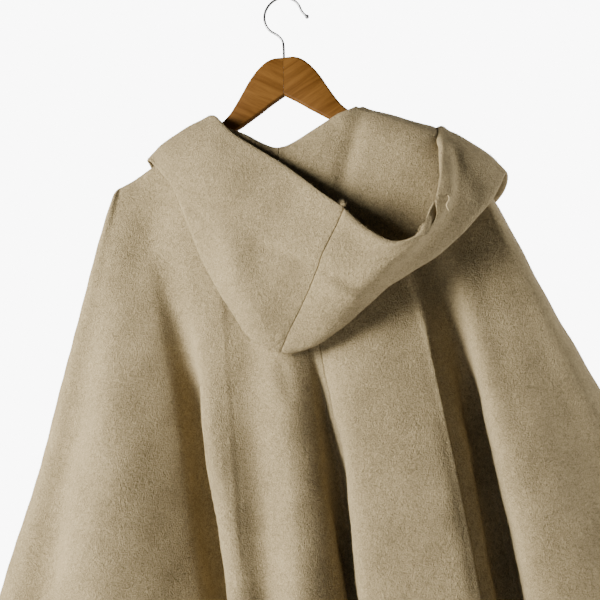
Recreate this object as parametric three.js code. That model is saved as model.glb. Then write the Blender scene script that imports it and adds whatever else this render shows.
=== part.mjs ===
// A hooded cape cardigan of thick boiled wool on a wooden hanger with a steel hook.
// Millimetres, +Z up.  The origin is the inside top of the hook, where a rail carries it.
// The back of the cape faces +Y, its open front faces -Y, and the wearer's left is +X.
import * as THREE from 'three';

// ---------- driving sizes ----------
const WALL = 2.5; // thickness of the wool cloth
const SEAM_GAP = 0.3; // gap between two pieces at a seam or a seat
const ARM_GAP = 0.65; // gap between the cloth and the hanger's arm
const HEM_Z = -1000; // height of the level hem

const NECK_X = 92; // half the width of the neckline, on the shoulder seam
// How far the neckline dips below the neck point, how far out its middle lies, and how late it dips.
const BACK_NECK = { drop: 55, out: 22, ease: 1 };
const FRONT_NECK = { drop: 150, out: -34, ease: 1.3 };
const NECK_ROUND = 0.15; // rounding of the neckline's point, as a share of its half width
const NECK_FULL = 0.35; // how squarely the neckline turns off the shoulder
const NECK_LIFT = 2.3; // how far the neck's seam holds the cloth off the arm at the neck point
const NECK_LIFT_END = 128; // where the cloth lies on the arm again

const HANGER = {
  half: 212, // from the middle to an arm's end
  thick: 10,
  corner: 4.4, // rounding of the arm's long edges
  slopeX: 78, // where the arm's straight slope starts
  slopeZ: -145,
  slope: 0.556, // fall of the arm for each millimetre outwards
  armHeight: 21,
  endRound: 9,
};
const YOKE_TOP = -73;

const HOOK = {
  wire: 1.5, // radius of the wire
  ring: 23, // radius of the hook's arc, on the wire's centre line
  ringZ: -21.5,
  ball: 2.6, // radius of the ball on its tip
  sides: 8,
};

const OVER_ARM = 11; // radius in which the cloth turns over an arm of the hanger
const OVER_ROWS = 4; // rows of the cloth's grid in that turn
const FALL_ROWS = 14; // rows of the grid from there down to the hem
const FALL_POWER = 1.5; // the rows grow longer towards the hem
const BACK_DRAPE = 52; // how much further out the back hangs at the hem
const FRONT_DRAPE = 44;
const DRAPE_SOFT = 0.6; // how evenly the drape grows on the way down
const FOLD_ONSET = 0.15; // how slowly a fold deepens below its start
const SIDE_TURN = { top: 11, hem: 46 }; // radius in which the back turns to the front at the side

// Each row is a line down the back, from the centre-back seam out to the side: where it leaves the
// neckline or the shoulder, where it passes half-way down and the hem, how far it stands out of the
// drape at the hem (ridges +, valleys -), how far down it starts, and the grid's cells to the next.
const BACK_LEFT = [
  { line: 'centre seam', topX: 0, midX: -72, hemX: -102, out: 6, start: 0.25, cells: 2 },
  { line: 'seam valley', topX: 8, midX: -61, hemX: -88, out: -56, start: 0.22, cells: 2 },
  { line: 'valley edge', topX: 19, midX: -49, hemX: -72, out: 22, start: 0.2, cells: 2 },
  { line: 'ridge', topX: 38, midX: -20, hemX: -40, out: 44, start: 0.12, cells: 3 },
  { line: 'dip', topX: 62, midX: 22, hemX: 0, out: 22, start: 0.2, cells: 2 },
  { line: 'neck turn', topX: 86, midX: 46, hemX: 16, out: 24, start: 0.14, cells: 2 },
  { line: 'neck point', topX: 92, midX: 56, hemX: 26, out: 24, start: 0.12, cells: 3 },
  { line: 'sharp edge', topX: 142, midX: 74, hemX: 37, out: 14, start: 0.1, cells: 2 },
  { line: 'deep valley', topX: 186, midX: 85, hemX: 44, out: -60, start: 0.05, cells: 3 },
  { line: 'valley side', topX: 196, midX: 117, hemX: 92, out: -14, start: 0.08, cells: 3 },
  { line: 'broad ridge', topX: 201, midX: 206, hemX: 226, out: 42, start: 0.08, cells: 3 },
  { line: 'soft dip', topX: 205, midX: 270, hemX: 352, out: 4, start: 0.3, cells: 3 },
  { line: 'side turn', topX: 209, midX: 313, hemX: 432, turn: true, cells: 2 },
  { line: 'side seam', topX: 216, midX: 334, hemX: 470, seam: true, cells: 0 },
];
const BACK_RIGHT = [
  { line: 'centre seam', topX: 0, midX: -72, hemX: -102, out: 6, start: 0.25, cells: 3 },
  { line: 'overlapping ridge', topX: -26, midX: -86, hemX: -118, out: 44, start: 0.15, cells: 4 },
  { line: 'broad ridge', topX: -60, midX: -136, hemX: -178, out: 46, start: 0.12, cells: 4 },
  { line: 'neck turn', topX: -86, midX: -190, hemX: -238, out: 38, start: 0.15, cells: 2 },
  { line: 'neck point', topX: -92, midX: -200, hemX: -250, out: 34, start: 0.15, cells: 3 },
  { line: 'valley', topX: -138, midX: -226, hemX: -286, out: -60, start: 0.03, cells: 3 },
  { line: 'ridge', topX: -168, midX: -252, hemX: -314, out: 30, start: 0.08, cells: 3 },
  { line: 'broad ridge', topX: -192, midX: -296, hemX: -408, out: 34, start: 0.1, cells: 3 },
  { line: 'soft dip', topX: -203, midX: -346, hemX: -482, out: 8, start: 0.3, cells: 3 },
  { line: 'side turn', topX: -210, midX: -380, hemX: -522, turn: true, cells: 2 },
  { line: 'side seam', topX: -217, midX: -400, hemX: -558, seam: true, cells: 0 },
];
const FRONT_LEFT = [
  { line: 'front edge', topX: 4, midX: 4, hemX: 4, out: -4, start: 0.2, cells: 3 },
  { line: 'ridge', topX: 34, midX: 48, hemX: 62, out: 30, start: 0.15, cells: 3 },
  { line: 'valley', topX: 62, midX: 94, hemX: 122, out: -34, start: 0.2, cells: 2 },
  { line: 'neck turn', topX: 86, midX: 126, hemX: 166, out: 20, start: 0.18, cells: 2 },
  { line: 'neck point', topX: 92, midX: 138, hemX: 182, out: 34, start: 0.15, cells: 3 },
  { line: 'valley', topX: 150, midX: 196, hemX: 258, out: -34, start: 0.12, cells: 3 },
  { line: 'broad ridge', topX: 192, midX: 258, hemX: 346, out: 32, start: 0.1, cells: 3 },
  { line: 'side turn', topX: 209, midX: 313, hemX: 432, turn: true, cells: 2 },
  { line: 'side seam', topX: 216, midX: 334, hemX: 470, seam: true, cells: 0 },
];
const FRONT_RIGHT = [
  { line: 'front edge', topX: -4, midX: -4, hemX: -4, out: -4, start: 0.2, cells: 3 },
  { line: 'ridge', topX: -34, midX: -52, hemX: -70, out: 26, start: 0.15, cells: 3 },
  { line: 'valley', topX: -62, midX: -106, hemX: -138, out: -32, start: 0.2, cells: 2 },
  { line: 'neck turn', topX: -86, midX: -148, hemX: -196, out: 20, start: 0.18, cells: 2 },
  { line: 'neck point', topX: -92, midX: -160, hemX: -212, out: 32, start: 0.15, cells: 3 },
  { line: 'valley', topX: -146, midX: -226, hemX: -300, out: -36, start: 0.12, cells: 3 },
  { line: 'broad ridge', topX: -192, midX: -304, hemX: -420, out: 32, start: 0.1, cells: 3 },
  { line: 'side turn', topX: -210, midX: -380, hemX: -522, turn: true, cells: 2 },
  { line: 'side seam', topX: -217, midX: -400, hemX: -558, seam: true, cells: 0 },
];

// The hood hangs down the back as a folded pouch: from the neckline it stands up to a roll, falls
// as the inner layer to the fold, and comes back up as the outer layer to the opening's edge.
// Each row is one section, from the centre seam over the shoulder to the front end of the neck: where
// it stands on the half neckline (0 centre back, 1 neck point, 2 front edge), the points of its fold
// and its edge, how far the middle of the inner and of the outer layer stand out, the way that the
// layers face (0 back, 90 up, 180 front), half the thickness of the fold, and the roll's height.
const HOOD_LEFT = [
  { at: 0, fold: [-5, 64, -428], edge: [-87, 88, -278], inner: 0, outer: 10, turn: 0, round: 6, rise: 13 },
  { at: 0.17, fold: [25, 60, -413], edge: [-59, 77, -256], inner: 0, outer: 9, turn: 0, round: 6, rise: 13 },
  { at: 0.33, fold: [56, 54, -376], edge: [-32, 64, -233], inner: 0, outer: 8, turn: 4, round: 5, rise: 13 },
  { at: 0.48, fold: [87, 46, -328], edge: [-6, 53, -212], inner: 2, outer: 7, turn: 8, round: 5, rise: 12 },
  { at: 0.63, fold: [109, 41, -273], edge: [24, 47, -191], inner: 4.5, outer: 7, turn: 16, round: 5, rise: 10 },
  { at: 0.75, fold: [130, 34, -226], edge: [55, 36, -168], inner: 6, outer: 5, turn: 36, round: 5, rise: 7 },
  { at: 0.85, fold: [150, 25, -203], edge: [72, 27, -150], inner: 6.5, outer: 3.5, turn: 56, round: 4.5, rise: 6.5 },
  { at: 0.92, fold: [165, 12, -190], edge: [82, 14, -140], inner: 5, outer: 3, turn: 76, round: 4, rise: 6 },
  { at: 1, fold: [176, 1, -184], edge: [90, 3, -135.5], inner: 4, outer: 2.5, turn: 90, round: 4, rise: 6 },
  { at: 1.08, fold: [177, -11, -187], edge: [92, -12, -138], inner: 5, outer: 2.5, turn: 104, round: 4, rise: 6 },
  { at: 1.16, fold: [175, -23, -199], edge: [94, -26, -151], inner: 6, outer: 3.5, turn: 126, round: 4.5, rise: 7 },
  { at: 1.3, fold: [165, -36, -224], edge: [92, -42, -174], inner: 6, outer: 7, turn: 150, round: 4.5, rise: 9 },
  { at: 1.5, fold: [143, -46, -264], edge: [80, -54, -214], inner: 4, outer: 6, turn: 170, round: 4.5, rise: 11 },
  { at: 1.75, fold: [104, -54, -306], edge: [58, -64, -262], inner: 2, outer: 5, turn: 180, round: 4.5, rise: 13 },
  { at: 2, fold: [52, -56, -328], edge: [28, -66, -298], inner: 0, outer: 2, turn: 180, round: 4, rise: 13 },
];
const HOOD_RIGHT = [
  { at: 0, fold: [-5, 64, -428], edge: [-87, 88, -278], inner: 0, outer: 10, turn: 0, round: 6, rise: 13 },
  { at: 0.17, fold: [-40, 68, -424], edge: [-117, 98, -306], inner: 0, outer: 10, turn: 0, round: 7, rise: 13 },
  { at: 0.33, fold: [-78, 70, -402], edge: [-146, 103, -321], inner: 0, outer: 9, turn: 0, round: 8, rise: 13 },
  { at: 0.48, fold: [-127, 68, -363], edge: [-177, 99, -307], inner: 1, outer: 8, turn: 6, round: 8, rise: 13 },
  { at: 0.63, fold: [-184, 60, -326], edge: [-189, 82, -270], inner: 6, outer: 8, turn: 20, round: 8, rise: 13 },
  { at: 0.75, fold: [-228, 50, -288], edge: [-188, 60, -222], inner: 14, outer: 8, turn: 40, round: 8, rise: 12 },
  { at: 0.85, fold: [-246, 34, -262], edge: [-186, 40, -194], inner: 18, outer: 7, turn: 56, round: 7, rise: 11 },
  { at: 0.92, fold: [-253, 18, -245], edge: [-184, 21, -179], inner: 15, outer: 5, turn: 74, round: 6, rise: 11 },
  { at: 1, fold: [-256, 2, -236], edge: [-181, 4, -173], inner: 13, outer: 3, turn: 90, round: 6, rise: 10 },
  { at: 1.08, fold: [-255, -14, -237], edge: [-178, -15, -173], inner: 13, outer: 4, turn: 104, round: 6, rise: 10 },
  { at: 1.16, fold: [-250, -29, -244], edge: [-172, -31, -180], inner: 16, outer: 6, turn: 124, round: 6, rise: 12 },
  { at: 1.3, fold: [-230, -46, -262], edge: [-154, -48, -200], inner: 14, outer: 7, turn: 150, round: 6, rise: 13 },
  { at: 1.5, fold: [-182, -54, -288], edge: [-116, -62, -232], inner: 7, outer: 6, turn: 170, round: 5, rise: 13 },
  { at: 1.75, fold: [-118, -58, -316], edge: [-70, -68, -270], inner: 2, outer: 5, turn: 180, round: 4.5, rise: 13 },
  { at: 2, fold: [-52, -56, -328], edge: [-28, -66, -298], inner: 0, outer: 2, turn: 180, round: 4, rise: 13 },
];
const STAND = { foot: 0.2, lean: 0.35, upper: 0.8 }; // knots of the stand, as shares of its rise
const STAND_CLEAR = 40; // nearer the middle than this the stand goes up instead of inwards
const ROLL = { out: 0.6, down: 0.3 }; // the knot past the roll, as shares of the rise
const HOOD_CELLS = [1, 2, 2, 3, 3, 2, 2, 3, 3]; // cells between the knots of a section
const FOLD_SIDE = 3; // how far from the fold the two layers start, as a multiple of round
const STAND_STEPS = 4; // the steps that make the stand and the roll
const HOOD_CLEAR = WALL + 3.6; // least distance between the middles of the hood and the body

// ---------- finishes ----------
const WOOL = { color: 0xc3b49b, roughness: 0.95, metalness: 0 };
const WOOD = { color: 0xb07f4e, roughness: 0.42, metalness: 0 };
const STEEL = { color: 0xa8a8a6, roughness: 0.3, metalness: 1 };

const object = new THREE.Group();

function addMesh(name, geometry, finish) {
  const mesh = new THREE.Mesh(geometry, new THREE.MeshStandardMaterial(finish));
  mesh.name = name;
  object.add(mesh);
}

// ---------- curves and surfaces ----------
const vec = (x, y, z) => new THREE.Vector3(x, y, z);
const mix = THREE.MathUtils.lerp;
const radians = THREE.MathUtils.degToRad;

// The parabola through a value at the top, half-way down and at the hem.
function alongLine(share, top, mid, hem) {
  return top * (1 - share) * (1 - 2 * share) + mid * 4 * share * (1 - share) + hem * share * (2 * share - 1);
}

// Points on a smooth curve from the second knot to the last but one, with cells[i] steps after knot i + 1.
function throughKnots(knots, cells) {
  const curve = new THREE.CatmullRomCurve3(knots, false, 'centripetal');
  const points = [knots[1].clone()];
  cells.forEach((count, i) => {
    for (let step = 1; step <= count; step += 1) {
      points.push(curve.getPoint((i + 1 + step / count) / (knots.length - 1)));
    }
  });
  return points;
}

// The point as far beyond the first as the second is on its other side.
const beyond = (first, second) => first.clone().multiplyScalar(2).sub(second);

function gridNormals(grid) {
  const rows = grid.length;
  const columns = grid[0].length;
  return grid.map((line, row) => line.map((_, column) => {
    const across = grid[row][Math.min(column + 1, columns - 1)].clone().sub(grid[row][Math.max(column - 1, 0)]);
    const down = grid[Math.min(row + 1, rows - 1)][column].clone().sub(grid[Math.max(row - 1, 0)][column]);
    return across.cross(down).normalize();
  }));
}

// A closed wall round a grid of points: one skin on each side of it and a rim round its four edges.
// Each quad of a rim has a point in its middle, so that the rims of two pieces match at their seam.
function wallGeometry(grid, normals) {
  const rows = grid.length;
  const columns = grid[0].length;
  const positions = [];
  for (const side of [0.5, -0.5]) {
    grid.forEach((line, row) => line.forEach((point, column) => {
      const moved = point.clone().addScaledVector(normals[row][column], side * WALL);
      positions.push(moved.x, moved.y, moved.z);
    }));
  }
  const skin = rows * columns;
  const at = (row, column) => row * columns + column;
  const index = [];
  const rim = (a, b, c, d) => {
    const centre = positions.length / 3;
    for (let axis = 0; axis < 3; axis += 1) {
      positions.push([a, b, c, d].reduce((sum, corner) => sum + positions[3 * corner + axis], 0) / 4);
    }
    index.push(a, b, centre, b, c, centre, c, d, centre, d, a, centre);
  };
  for (let row = 0; row < rows - 1; row += 1) {
    for (let column = 0; column < columns - 1; column += 1) {
      const a = at(row, column);
      const b = at(row, column + 1);
      const c = at(row + 1, column + 1);
      const d = at(row + 1, column);
      index.push(a, b, d, b, c, d);
      index.push(skin + a, skin + d, skin + b, skin + b, skin + d, skin + c);
    }
  }
  for (let column = 0; column < columns - 1; column += 1) {
    rim(at(0, column + 1), at(0, column), skin + at(0, column), skin + at(0, column + 1));
    const last = rows - 1;
    rim(at(last, column + 1), skin + at(last, column + 1), skin + at(last, column), at(last, column));
  }
  for (let row = 0; row < rows - 1; row += 1) {
    rim(at(row, 0), at(row + 1, 0), skin + at(row + 1, 0), skin + at(row, 0));
    const last = columns - 1;
    rim(at(row + 1, last), at(row, last), skin + at(row, last), skin + at(row + 1, last));
  }
  return facingOut(positions, index);
}

// Turns every triangle round if the body they close is inside out.
function facingOut(positions, index) {
  const corner = (i) => vec(positions[3 * i], positions[3 * i + 1], positions[3 * i + 2]);
  let volume = 0;
  for (let i = 0; i < index.length; i += 3) {
    volume += corner(index[i]).dot(corner(index[i + 1]).cross(corner(index[i + 2])));
  }
  if (volume < 0) {
    for (let i = 0; i < index.length; i += 3) {
      [index[i + 1], index[i + 2]] = [index[i + 2], index[i + 1]];
    }
  }
  const geometry = new THREE.BufferGeometry();
  geometry.setAttribute('position', new THREE.Float32BufferAttribute(positions, 3));
  geometry.setIndex(index);
  geometry.computeVertexNormals();
  return geometry;
}

// A solid through closed loops of equal length, with a fan over its first and its last loop.
function loftGeometry(loops) {
  const around = loops[0].length;
  const positions = loops.flat().flatMap((point) => [point.x, point.y, point.z]);
  const index = [];
  for (let loop = 0; loop < loops.length - 1; loop += 1) {
    for (let i = 0; i < around; i += 1) {
      const a = loop * around + i;
      const b = loop * around + (i + 1) % around;
      index.push(a, b, a + around, b, b + around, a + around);
    }
  }
  const last = (loops.length - 1) * around;
  for (let i = 1; i < around - 1; i += 1) {
    index.push(0, i + 1, i, last, last + i, last + i + 1);
  }
  return facingOut(positions, index);
}

// ---------- the hanger ----------
const armTop = (x) => HANGER.slopeZ - (Math.abs(x) - HANGER.slopeX) * HANGER.slope;

// Height of the arm's upper and lower edge at sections from the mitre to the arm's end.
const ARM_SECTIONS = [
  { x: SEAM_GAP / 2, top: YOKE_TOP, bottom: -120 },
  { x: 12, top: YOKE_TOP, bottom: -127 },
  { x: 20, top: -75.5, bottom: -132 },
  { x: 28, top: -81, bottom: -137.5 },
  { x: 36, top: -89, bottom: -142.5 },
  { x: 44, top: -99.5, bottom: -147.5 },
  { x: 52, top: -112.5, bottom: -152.5 },
  { x: 60, top: -125, bottom: -157 },
  { x: 68, top: -136, bottom: -161.5 },
  { x: HANGER.slopeX, top: armTop(HANGER.slopeX), bottom: -167 },
  { x: 92, top: armTop(92), bottom: armTop(92) - HANGER.armHeight - 0.6 },
  { x: 120, top: armTop(120), bottom: armTop(120) - HANGER.armHeight },
  { x: 160, top: armTop(160), bottom: armTop(160) - HANGER.armHeight },
];

// A rounded rectangle across the arm, of the given upper and lower edge.
function armLoop(x, top, bottom, halfThick) {
  const reach = Math.min(HANGER.corner, halfThick * 0.75, (top - bottom) * 0.45);
  const corners = [[1, 1, 0], [-1, 1, 90], [-1, -1, 180], [1, -1, 270]];
  return corners.flatMap(([sideY, sideZ, from]) => [0, 30, 60, 90].map((step) => {
    const angle = radians(from + step);
    const centreY = sideY * (halfThick - reach);
    const centreZ = sideZ > 0 ? top - reach : bottom + reach;
    return vec(x, centreY + reach * Math.cos(angle), centreZ + reach * Math.sin(angle));
  }));
}

function addHangerArm(name, side) {
  const sections = ARM_SECTIONS.map(({ x, top, bottom }) => armLoop(side * x, top, bottom, HANGER.thick / 2));
  for (const step of [0, 25, 50, 70, 84]) {
    const inset = HANGER.endRound * (1 - Math.cos(radians(step)));
    const x = HANGER.half - HANGER.endRound + HANGER.endRound * Math.sin(radians(step));
    const halfThick = HANGER.thick / 2 - inset * 0.3;
    sections.push(armLoop(side * x, armTop(x) - inset, armTop(x) - HANGER.armHeight + inset, halfThick));
  }
  addMesh(name, loftGeometry(sections), WOOD);
}

// The wire rises from the yoke, swings out to the wearer's left, runs over the top and ends in a ball.
function addHook() {
  const ring = (degrees, radius = HOOK.ring) => vec(
    radius * Math.cos(radians(degrees)), 0, HOOK.ringZ + radius * Math.sin(radians(degrees)),
  );
  const path = [
    vec(0, 0, YOKE_TOP + SEAM_GAP),
    vec(0, 0, -62),
    vec(1, 0, -53),
    vec(6, 0, -45.5),
  ];
  for (let degrees = -45; degrees <= 165; degrees += 15) {
    path.push(ring(degrees));
  }
  path.push(ring(176, HOOK.ring + 1.6));
  path.push(ring(184, HOOK.ring + 5));
  const loops = path.map((point, i) => {
    const ahead = path[Math.min(i + 1, path.length - 1)];
    const behind = path[Math.max(i - 1, 0)];
    const along = i === 0 ? vec(0, 0, 1) : ahead.clone().sub(behind).normalize();
    return hookLoop(point, along, HOOK.wire);
  });
  const tip = path[path.length - 1];
  const outwards = tip.clone().sub(path[path.length - 2]).normalize();
  for (const degrees of [-30, 0, 35, 65]) {
    const centre = tip.clone().addScaledVector(outwards, HOOK.ball * (1 + Math.sin(radians(degrees))));
    loops.push(hookLoop(centre, outwards, HOOK.ball * Math.cos(radians(degrees))));
  }
  addMesh('hanger_hook', loftGeometry(loops), STEEL);
}

function hookLoop(centre, along, radius) {
  const across = vec(0, 1, 0);
  const up = along.clone().cross(across).normalize();
  return Array.from({ length: HOOK.sides }, (_, i) => {
    const angle = (2 * Math.PI * i) / HOOK.sides;
    return centre.clone()
      .addScaledVector(across, radius * Math.cos(angle))
      .addScaledVector(up, radius * Math.sin(angle));
  });
}

// ---------- the body of the cape ----------
// Height of the cloth's middle where it lies over an arm.
function shoulderZ(x) {
  const held = THREE.MathUtils.smoothstep(NECK_LIFT_END - Math.abs(x), 0, NECK_LIFT_END - NECK_X);
  return armTop(x) + ARM_GAP + (WALL / 2) * Math.hypot(1, HANGER.slope) + NECK_LIFT * held;
}

// How deep the neckline dips at x: 1 in the middle, 0 on the shoulder, a V with a round point.
function neckDip(x) {
  const share = Math.min(Math.abs(x) / NECK_X, 1);
  const whole = Math.hypot(1, NECK_ROUND) - NECK_ROUND;
  return 1 - (Math.hypot(share, NECK_ROUND) - NECK_ROUND) / whole;
}

function topPoint(x, back) {
  if (Math.abs(x) >= NECK_X) {
    return vec(x, 0, shoulderZ(x));
  }
  const dip = neckDip(x);
  const neck = back ? BACK_NECK : FRONT_NECK;
  return vec(x, neck.out * dip ** NECK_FULL, shoulderZ(NECK_X) - neck.drop * dip ** neck.ease);
}

// How far down a row of the grid lies, for a line of the given length.
function rowDrop(row, length) {
  if (row <= OVER_ROWS) {
    return OVER_ARM * (1 - Math.cos((row / OVER_ROWS) * (Math.PI / 2)));
  }
  const share = (row - OVER_ROWS) / FALL_ROWS;
  return OVER_ARM + (length - OVER_ARM) * share ** FALL_POWER;
}

// How far out the cloth hangs at a share of its length, without its folds.
function drapeAt(share, back) {
  return OVER_ARM + ((back ? BACK_DRAPE : FRONT_DRAPE) * share * (1 + DRAPE_SOFT)) / (share + DRAPE_SOFT);
}

// The point of a line at a row: it starts on the neckline or the shoulder seam and follows its fold.
function linePoint(line, row, back) {
  const top = topPoint(line.topX, back);
  const length = top.z - HEM_Z;
  const drop = rowDrop(row, length);
  const share = drop / length;
  const x = alongLine(share, line.topX, line.midX, line.hemX);
  const facing = back ? 1 : -1;
  const over = Math.sin((Math.min(row / OVER_ROWS, 1)) * (Math.PI / 2));
  if (line.seam) {
    return vec(x, 0, top.z - drop);
  }
  if (line.turn) {
    return vec(x, facing * over * mix(SIDE_TURN.top, SIDE_TURN.hem, Math.sqrt(share)), top.z - drop);
  }
  const drape = drapeAt(share, back);
  const below = Math.max(0, (share - line.start) / (1 - line.start)) ** 2;
  const fold = line.out * (below * (1 + FOLD_ONSET)) / (below + FOLD_ONSET);
  if (Math.abs(line.topX) >= NECK_X) {
    return vec(x, facing * over * (drape + fold), top.z - drop);
  }
  const fromNeck = (top.y - facing * OVER_ARM) * (1 - share) ** 3;
  return vec(x, facing * (drape + fold) + fromNeck, top.z - drop);
}

// A knot beyond the side seam, which turns the cloth square into the seam.
const beyondSeam = (knot) => vec(knot.x, -knot.y, knot.z);

const gridOf = (line) => Array.from({ length: OVER_ROWS + FALL_ROWS + 1 }, (_, row) => line(row));
const cellsOf = (lines) => lines.slice(0, -1).map((line) => line.cells);

// The whole back, from the right side seam over the centre seam to the left one.
function backGrid() {
  const lines = [...BACK_RIGHT.slice(1).reverse(), ...BACK_LEFT];
  const cells = [...cellsOf(BACK_RIGHT).reverse(), ...cellsOf(BACK_LEFT)];
  return gridOf((row) => {
    const knots = lines.map((line) => linePoint(line, row, true));
    return throughKnots([beyondSeam(knots[1]), ...knots, beyondSeam(knots[knots.length - 2])], cells);
  });
}

// One front, from its free edge to the side seam.
function frontGrid(lines) {
  return gridOf((row) => {
    const knots = lines.map((line) => linePoint(line, row, false));
    return throughKnots(
      [beyond(knots[0], knots[1]), ...knots, beyondSeam(knots[knots.length - 2])], cellsOf(lines),
    );
  });
}

// Puts a panel's shoulder and side seam in the plane of the seam, half a gap off it.
function setOnSeam(panel, facing) {
  const side = panel.grid[0].length - 1;
  const flatten = (row, column) => {
    const point = panel.grid[row][column];
    const normal = panel.normals[row][column];
    panel.grid[row][column] = vec(point.x, (facing * SEAM_GAP) / 2, point.z);
    panel.normals[row][column] = vec(normal.x, 0, normal.z).normalize();
  };
  panel.grid.forEach((_, row) => flatten(row, side));
  panel.grid[0].forEach((point, column) => {
    if (Math.abs(point.x) > NECK_X - SEAM_GAP) {
      flatten(0, column);
    }
  });
  return panel;
}

function buildBack() {
  const grid = backGrid();
  const normals = gridNormals(grid);
  const centre = cellsOf(BACK_RIGHT).reduce((sum, count) => sum + count, 0);
  const half = (side) => {
    const columns = (lines) => lines.map((line) => (
      side > 0 ? line.slice(centre) : line.slice(0, centre + 1).reverse()
    ));
    const panel = { grid: columns(grid), normals: columns(normals) };
    panel.grid.forEach((line, row) => {
      const across = grid[row][centre + 1].clone().sub(grid[row][centre - 1]);
      line[0] = line[0].clone().add(across.setLength((side * SEAM_GAP) / 2));
    });
    return setOnSeam(panel, 1);
  };
  return { left: half(1), right: half(-1) };
}

function buildFront(lines) {
  const grid = frontGrid(lines);
  const normals = gridNormals(grid);
  normals.flat().forEach((normal) => normal.multiplyScalar(normal.y > 0 ? -1 : 1));
  return setOnSeam({ grid, normals }, -1);
}

// ---------- the hood ----------
// Moves a point of the hood off the body where it comes too close: up where it lies over an arm, and
// straight out where it hangs in front of the back or the front.
function clearOfBody(point) {
  const back = point.y > 0;
  const top = topPoint(point.x, back);
  const radius = OVER_ARM + HOOD_CLEAR;
  const overArm = Math.abs(point.x) >= NECK_X;
  if (overArm && Math.abs(point.y) < radius * 0.8) {
    const round = radius - Math.sqrt(radius ** 2 - point.y ** 2);
    return vec(point.x, point.y, Math.max(point.z, top.z + HOOD_CLEAR - round));
  }
  const drop = top.z + HOOD_CLEAR - point.z;
  if (drop <= 0) {
    return point;
  }
  const share = drop / (top.z - HEM_Z);
  const round = Math.sqrt(1 - (1 - Math.min(drop / radius, 1)) ** 2);
  const fromNeck = overArm ? 0 : (Math.abs(top.y) - OVER_ARM) * (1 - share) ** 3;
  const least = round * (drapeAt(share, back) + fromNeck + HOOD_CLEAR);
  return vec(point.x, (back ? 1 : -1) * Math.max(Math.abs(point.y), least), point.z);
}

// The neckline's points and normals, from the front edge over the shoulder to the centre back.
function halfNeckline(backPanel, frontPanel) {
  const stations = (panel) => panel.grid[0]
    .map((point, column) => ({ point, normal: panel.normals[0][column] }))
    .filter(({ point }) => Math.abs(point.x) < NECK_X + SEAM_GAP);
  const front = stations(frontPanel);
  const behind = stations(backPanel).reverse();
  const neckPoint = { point: vec(behind[0].point.x, 0, behind[0].point.z), normal: behind[0].normal };
  return [...front.slice(0, -1), neckPoint, ...behind.slice(1)];
}

// The section at a place on the half neckline, between the two rows of the table beside it.
function hoodSection(rows, at) {
  const before = Math.min(rows.findLastIndex((row) => row.at <= at), rows.length - 2);
  const part = (at - rows[before].at) / (rows[before + 1].at - rows[before].at);
  const point = (key) => new THREE.CatmullRomCurve3(rows.map((row) => vec(...row[key])), false, 'centripetal')
    .getPoint((before + part) / (rows.length - 1));
  const number = (key) => mix(rows[before][key], rows[before + 1][key], part);
  const section = { fold: point('fold'), edge: point('edge') };
  for (const key of ['inner', 'outer', 'turn', 'round', 'rise', 'side']) {
    section[key] = number(key);
  }
  return section;
}

// The knots of a section, from the neckline over the roll and the fold to the opening's edge.
function hoodKnots(station, section) {
  const { point, up } = station;
  const angle = radians(section.turn);
  const facing = vec(
    section.side * Math.sin(angle) * Math.sin(Math.atan(HANGER.slope)),
    Math.cos(angle),
    Math.sin(angle) * Math.cos(Math.atan(HANGER.slope)),
  ).normalize();
  const outwards = vec(section.side * Math.sin(angle), Math.cos(angle), 0);
  const seam = point.clone().addScaledVector(up, SEAM_GAP);
  const upright = vec(up.x * Math.min(1, Math.abs(point.x) / STAND_CLEAR), up.y, up.z).normalize();
  const { rise } = section;
  const stand = seam.clone().addScaledVector(upright, STAND.foot * rise);
  const roll = stand.clone().addScaledVector(outwards, STAND.lean * rise).add(vec(0, 0, STAND.upper * rise));
  const overRoll = roll.clone().addScaledVector(outwards, ROLL.out * rise).add(vec(0, 0, -ROLL.down * rise));
  const towards = (to) => to.clone().sub(section.fold).normalize().multiplyScalar(section.round * FOLD_SIDE);
  const foldIn = section.fold.clone().add(towards(overRoll)).addScaledVector(facing, -section.round);
  const foldOut = section.fold.clone().add(towards(section.edge)).addScaledVector(facing, section.round);
  const inner = overRoll.clone().lerp(foldIn, 0.5).addScaledVector(facing, section.inner);
  const outer = foldOut.clone().lerp(section.edge, 0.5).addScaledVector(facing, section.outer);
  return [seam, stand, roll, overRoll, inner, foldIn, section.fold, foldOut, outer, section.edge];
}

const halfNecklineCells = (lines) => lines
  .filter((line) => Math.abs(line.topX) < NECK_X)
  .reduce((sum, line) => sum + line.cells, 0);

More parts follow.
